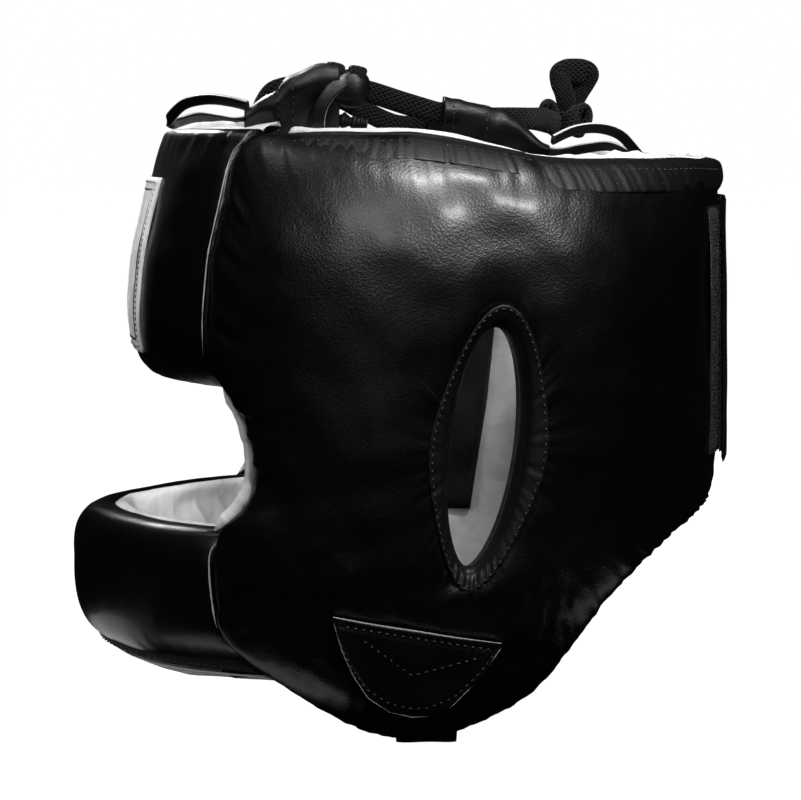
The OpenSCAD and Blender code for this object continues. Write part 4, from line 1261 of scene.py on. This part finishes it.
TAPE_LOW, TAPE_HIGH = 115, 222
back_sheet("back_pile_tape", "back_loop_tape", 158, 175, TAPE_LOW, TAPE_HIGH, -0.3, 1.3, M_TAPE, "shell",
           120)
back_sheet("flap_hooks", "flap_hook_tape", 164.5, 178, TAPE_LOW, TAPE_HIGH, -1.9, 1.3, M_TAPE, "flap",
           121)
flap = back_sheet("back_flap_leather", "back_flap", 163.5, 200.2, 111, 226, -3.6, 1.8, M_STRAP, None,
                  122, 64)
bend = shell(np.array([199.6, 196.4]), 168.0, -4.5) * MM
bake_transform(flap)
back_sheet("back_flap_root", "flap_root", 197.9, 203.5, 110.6, 226.4, -0.3, 5.5, M_STRAP, "shell",
           123, 24)
fuzz("back_pile_fuzz", 158.2, 175, TAPE_LOW + 1, TAPE_HIGH - 1, -1.6, 5200, 1.3, 5)

# ---------------------------------------------------------------- chin strap
PATCH_A, PATCH_WIDE, PATCH_TOP, PATCH_SLANT, PATCH_DEEP = 68.5, 36, 60, 12, 40
STRAP_X, STRAP_WIDTH, STRAP_THICK = 6.5, 25.0, 2.0


def jaw_depth(z):
    return FRONT_ROLL * SIDE_PAD * edge_roll((z - 3.5) / EDGE_W)


def patch_drop(share):
    """Depth of the patch below its top edge, as a share of PATCH_DEEP: steep in front, slanted behind."""
    at = [0, 0.04, 0.09, 0.167, 0.3, 0.45, 0.556, 0.72, 0.87, 1]
    return np.interp(share, at, [0.03, 0.375, 0.62, 0.84, 0.965, 0.985, 0.94, 0.765, 0.44, 0.04])


def on_patch(share, drop, lift, flip):
    """Points on the patch: share is the way along its top edge, drop the distance below that edge."""
    z = PATCH_TOP - PATCH_SLANT * share - drop
    return mirrored(shell(PATCH_A + PATCH_WIDE * share, z, jaw_depth(z) - lift), flip)


def chin_patch(tag, flip):
    """Patch that holds the strap to the cheek, with its raw edge and three rows of stitches."""
    columns, rows = 90, 34
    share = np.sin(np.linspace(-1, 1, columns) * math.pi / 2) * 0.5 + 0.5
    S, T = np.meshgrid(share, np.linspace(0, 1, rows), indexing="ij")
    a = PATCH_A + PATCH_WIDE * S
    drop = patch_drop(S)
    z = PATCH_TOP - PATCH_SLANT * S - PATCH_DEEP * drop * T
    lift = 3.5 + 0.25 * waves(shell(a, z, 0), 24, 130 + flip)
    border = np.minimum(np.minimum(drop * T * PATCH_DEEP, (1 - T) * PATCH_DEEP * drop), 6)
    lift = lift - 0.5 * np.exp(-((border - 3.2) / 0.9) ** 2)
    grids = [mirrored(shell(a, z, jaw_depth(z) - lift + ply), flip)[:, ::-1] for ply in (0, 1.2)]
    ob = piece(f"chin_patch_leather_{tag}", grids, M_STRAP, f"chin_patch_{tag}")
    # the faces of the cut edge have two corners on the front sheet
    ob.data.materials.append(M_RAW_EDGE_AND_HIGHLIGHT)
    for poly in ob.data.polygons:
        if sum(v < columns * rows for v in poly.vertices) == 2:
            poly.material_index = 1
    share = np.linspace(0.004, 0.996, 150)
    cut = on_patch(share, PATCH_DEEP * patch_drop(share), 3.45, flip)
    tube_mesh(f"chin_patch_cut_edge_{tag}", ribbon(cut, 0.2, 0.2, outward(cut), 8, power=1.0), M_RAW_EDGE_AND_HIGHLIGHT, "shell")
    top = np.linspace(0.06, 0.94, 80)
    low = np.linspace(0.035, 0.955, 80)
    middle = np.concatenate([np.linspace(0.16, 0.45, 30), np.linspace(0.46, 0.86, 30)])
    middle_drop = np.concatenate([np.linspace(7.5, 20.0, 30), np.linspace(19.6, 7.5, 30)])
    low_drop = np.maximum(3.0, 0.93 * PATCH_DEEP * patch_drop(low) - 1.6)
    for n, (share, drop) in enumerate(((top, 3.0), (low, low_drop), (middle, middle_drop))):
        line = on_patch(share, drop, 3.9, flip)
        stitch_row(f"chin_patch_stitches_{n + 1}_{tag}", line, outward(line), pitch=3.2, length=2.0)


for tag, flip in SIDES:
    chin_patch(tag, flip)


def strap_sheet(name, node, centre, thick, width, x_mid, body, material, seed, round_end=0.0):
    """Flat strap whose middle line is given as [y, z] points; its width lies along X."""
    line = resample(spline(centre, 8), 90)
    tangent = unit(np.gradient(line, axis=0))
    nrm = np.stack([-tangent[:, 1], tangent[:, 0]], -1)
    across = np.sin(np.linspace(-1, 1, 15) * math.pi / 2)
    way = way_along(line)
    to_end = way[-1] - way
    half = np.full(90, width / 2)
    if round_end:
        half = np.where(to_end < round_end, width / 2 * (1 - 0.25 * (1 - to_end / round_end) ** 2), half)
    xs = x_mid + half[:, None] * across[None, :]
    crown = thick / 2 * (1 - 0.35 * np.abs(across) ** 6)
    wav = 0.12 * waves(np.stack([xs, line[:, :1] + 0 * xs, line[:, 1:] + 0 * xs], -1), 18, seed)
    out = []
    for side in (1, -1):
        off = side * crown[None, :] + (wav if body == "shell" else 0 * wav)
        y = line[:, :1] + nrm[:, :1] * off
        z = line[:, 1:] + nrm[:, 1:] * off
        out.append(np.stack([xs, y, np.maximum(z, 0.02)], -1))
    v, f = sheet_solid(*out)
    ob = mesh_object(name, v, f, material, body)
    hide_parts(node)
    return ob


def leather_strap(name, node, centre, body, seed, round_end=0.0):
    return strap_sheet(name, node, centre, STRAP_THICK, STRAP_WIDTH, STRAP_X, body, M_STRAP,
                       seed,
                       round_end)


def chin_strap_end(tag, flip):
    """Fixed end of the strap: down the cheek, round its lower edge and in under it."""
    side = 1 if flip else -1
    off_cheek = lambda z: float(radius(90, z)) - float(jaw_depth(z)) + 1.6
    cheek = [[side * off_cheek(z), z] for z in (27.0, 20.0, 13.0, 9.0, 6.0)]
    under = [[side * y, z] for y, z in ((83.5, 2.4), (80.0, 1.05), (75.0, 1.0), (70.0, 1.0), (67.2, 1.0))]
    leather_strap(f"chin_strap_end_{tag}", f"chin_tab_{tag}", cheek + under, "shell", 140 + flip)


def chin_tape(name, node, body, seed):
    """Tape on a strap half, as large as its CAD solid."""
    low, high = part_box(node)
    middle = (low[2] + high[2]) / 2 / MM
    centre = [[low[1] / MM, middle], [0, middle], [high[1] / MM, middle]]
    strap_sheet(name, node, centre, (high[2] - low[2]) / MM, (high[0] - low[0]) / MM,
                (low[0] + high[0]) / 2 / MM,
                body, M_TAPE, seed)


for tag, flip in SIDES:
    chin_strap_end(tag, flip)
upper = leather_strap("chin_strap_upper", "chin_strap_left", [
    [-67.2, 1.0], [-62, 1.0], [-57.5, 1.15], [-54, 2.0], [-46.5, 5.4], [-43, 6.3], [-38, 6.45], [-10, 6.45],
    [20, 6.45], [38, 6.45]], None, 150, 14)
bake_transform(upper)
lower = leather_strap("chin_strap_lower", "chin_strap_right", [
    [67.2, 1.0], [60, 1.0], [40, 1.0], [10, 1.0], [-20, 1.0], [-36, 1.0]], None, 151, 14)
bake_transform(lower)
chin_tape("chin_hooks", "chin_hook_tape", "chin_right", 152)
chin_tape("chin_pile", "chin_loop_tape", "chin_left", 153)

# the core strip stays the CAD's own node
for core_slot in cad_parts["bar_core"].material_slots:
    core_slot.material = M_CORE

# ---------------------------------------------------------------- lights, floor, world
FLOOR_HALF, FLOOR_Z = 9, -0.0005
floor_mesh = bpy.data.meshes.new("floor")
corners = [(x * FLOOR_HALF, y * FLOOR_HALF, FLOOR_Z) for x, y in ((-1, -1), (1, -1), (1, 1), (-1, 1))]
floor_mesh.from_pydata(corners, [], [(0, 1, 2, 3)])
floor = bpy.data.objects.new("floor", floor_mesh)
scene.collection.objects.link(floor)
floor_finish, _, floor_shader = node_material("floor_pale")
set_inputs(floor_shader, {
    "Base Color": (0.35, 0.35, 0.35, 1), "Roughness": 1.0, "Specular IOR Level": 0.0,
    "Emission Color": (1, 1, 1, 1), "Emission Strength": 1.0})
floor_mesh.materials.append(floor_finish)
floor.visible_glossy = False
floor.visible_diffuse = False

# the camera sees a white background, and the object gets hardly any light from it
world = bpy.data.worlds.new("studio")
scene.world = world
world.use_nodes = True
tree = world.node_tree
for n in list(tree.nodes):
    tree.nodes.remove(n)
world_out = tree.nodes.new("ShaderNodeOutputWorld")
choose = tree.nodes.new("ShaderNodeMixShader")
ray = tree.nodes.new("ShaderNodeLightPath")
tree.links.new(ray.outputs["Is Camera Ray"], choose.inputs[0])
for place, strength in ((1, 0.004), (2, 1.0)):
    background = tree.nodes.new("ShaderNodeBackground")
    set_inputs(background, {"Color": (1, 1, 1, 1), "Strength": strength})
    tree.links.new(background.outputs[0], choose.inputs[place])
tree.links.new(choose.outputs[0], world_out.inputs[0])


def place_light(name, data, aim, turn, rise, away):
    """Turn and rise, in degrees, give a light's direction from the point it is aimed at, in mm."""
    ob = bpy.data.objects.new(name, data)
    scene.collection.objects.link(ob)
    a, e = math.radians(turn), math.radians(rise)
    way = Vector((math.sin(a) * math.cos(e), -math.cos(a) * math.cos(e), math.sin(e)))
    ob.location = Vector(aim) * MM + way * away
    ob.rotation_euler = way.to_track_quat("Z", "Y").to_euler()
    return ob


def softbox(name, aim, turn, rise, away, size, power, spread=180.0):
    data = bpy.data.lights.new(name, "AREA")
    data.shape = "ELLIPSE"
    data.size, data.size_y = size
    data.energy = power
    data.spread = math.radians(spread)
    ob = place_light(name, data, aim, turn, rise, away)
    ob.visible_camera = False
    return ob


def inside_beam(name, aim, turn, rise, away, cone, power):
    """A narrow soft spot that reaches the lining through an opening."""
    data = bpy.data.lights.new(name, "SPOT")
    data.energy = power
    data.spot_size = math.radians(cone)
    data.spot_blend = 0.8
    data.shadow_soft_size = 0.06
    place_light(name, data, aim, turn, rise, away).visible_glossy = False


softbox("key", (-10, -96, 224), -14, 39, 1.1, (0.28, 0.62), 2.4)
softbox("key_small", (41, -95, 224), 24, 43, 1.1, (0.11, 0.12), 6.0)
softbox("key_high", (22, -90, 236), 20, 70, 1.1, (0.15, 0.13), 7.0)
softbox("overhead_strip", (-57, -71, 246), -90, 68, 1.2, (0.14, 0.10), 0.5)
softbox("back_left", (-93, -36, 256), -156, 36, 1.1, (0.16, 0.16), 0.09, 12)
softbox("camera_side", (0, -100, 120), -8, 2, 1.3, (0.10, 0.5), 0.06)
softbox("under_rear", (60, -90, 40), 72, -22, 0.13, (0.16, 0.03), 0.010)
softbox("under_bar", (-115, -60, 44), -128, -34, 0.07, (0.10, 0.05), 0.010)
softbox("under_bar_end", (-86, -76, 30), -20, -70, 0.04, (0.12, 0.03), 0.006)
softbox("suede_fill", (-60, -60, 120), -78, 16, 1.1, (0.5, 0.5), 3.6).visible_glossy = False
inside_beam("bar_lining_light", (-98, 25, 72), 72, 48, 1.0, 11, 62)
inside_beam("ear_lining_light", (40, 80, 108), 8, 52, 1.0, 12, 0.4)

scene.view_settings.view_transform = "Standard"
scene.cycles.use_denoising = True
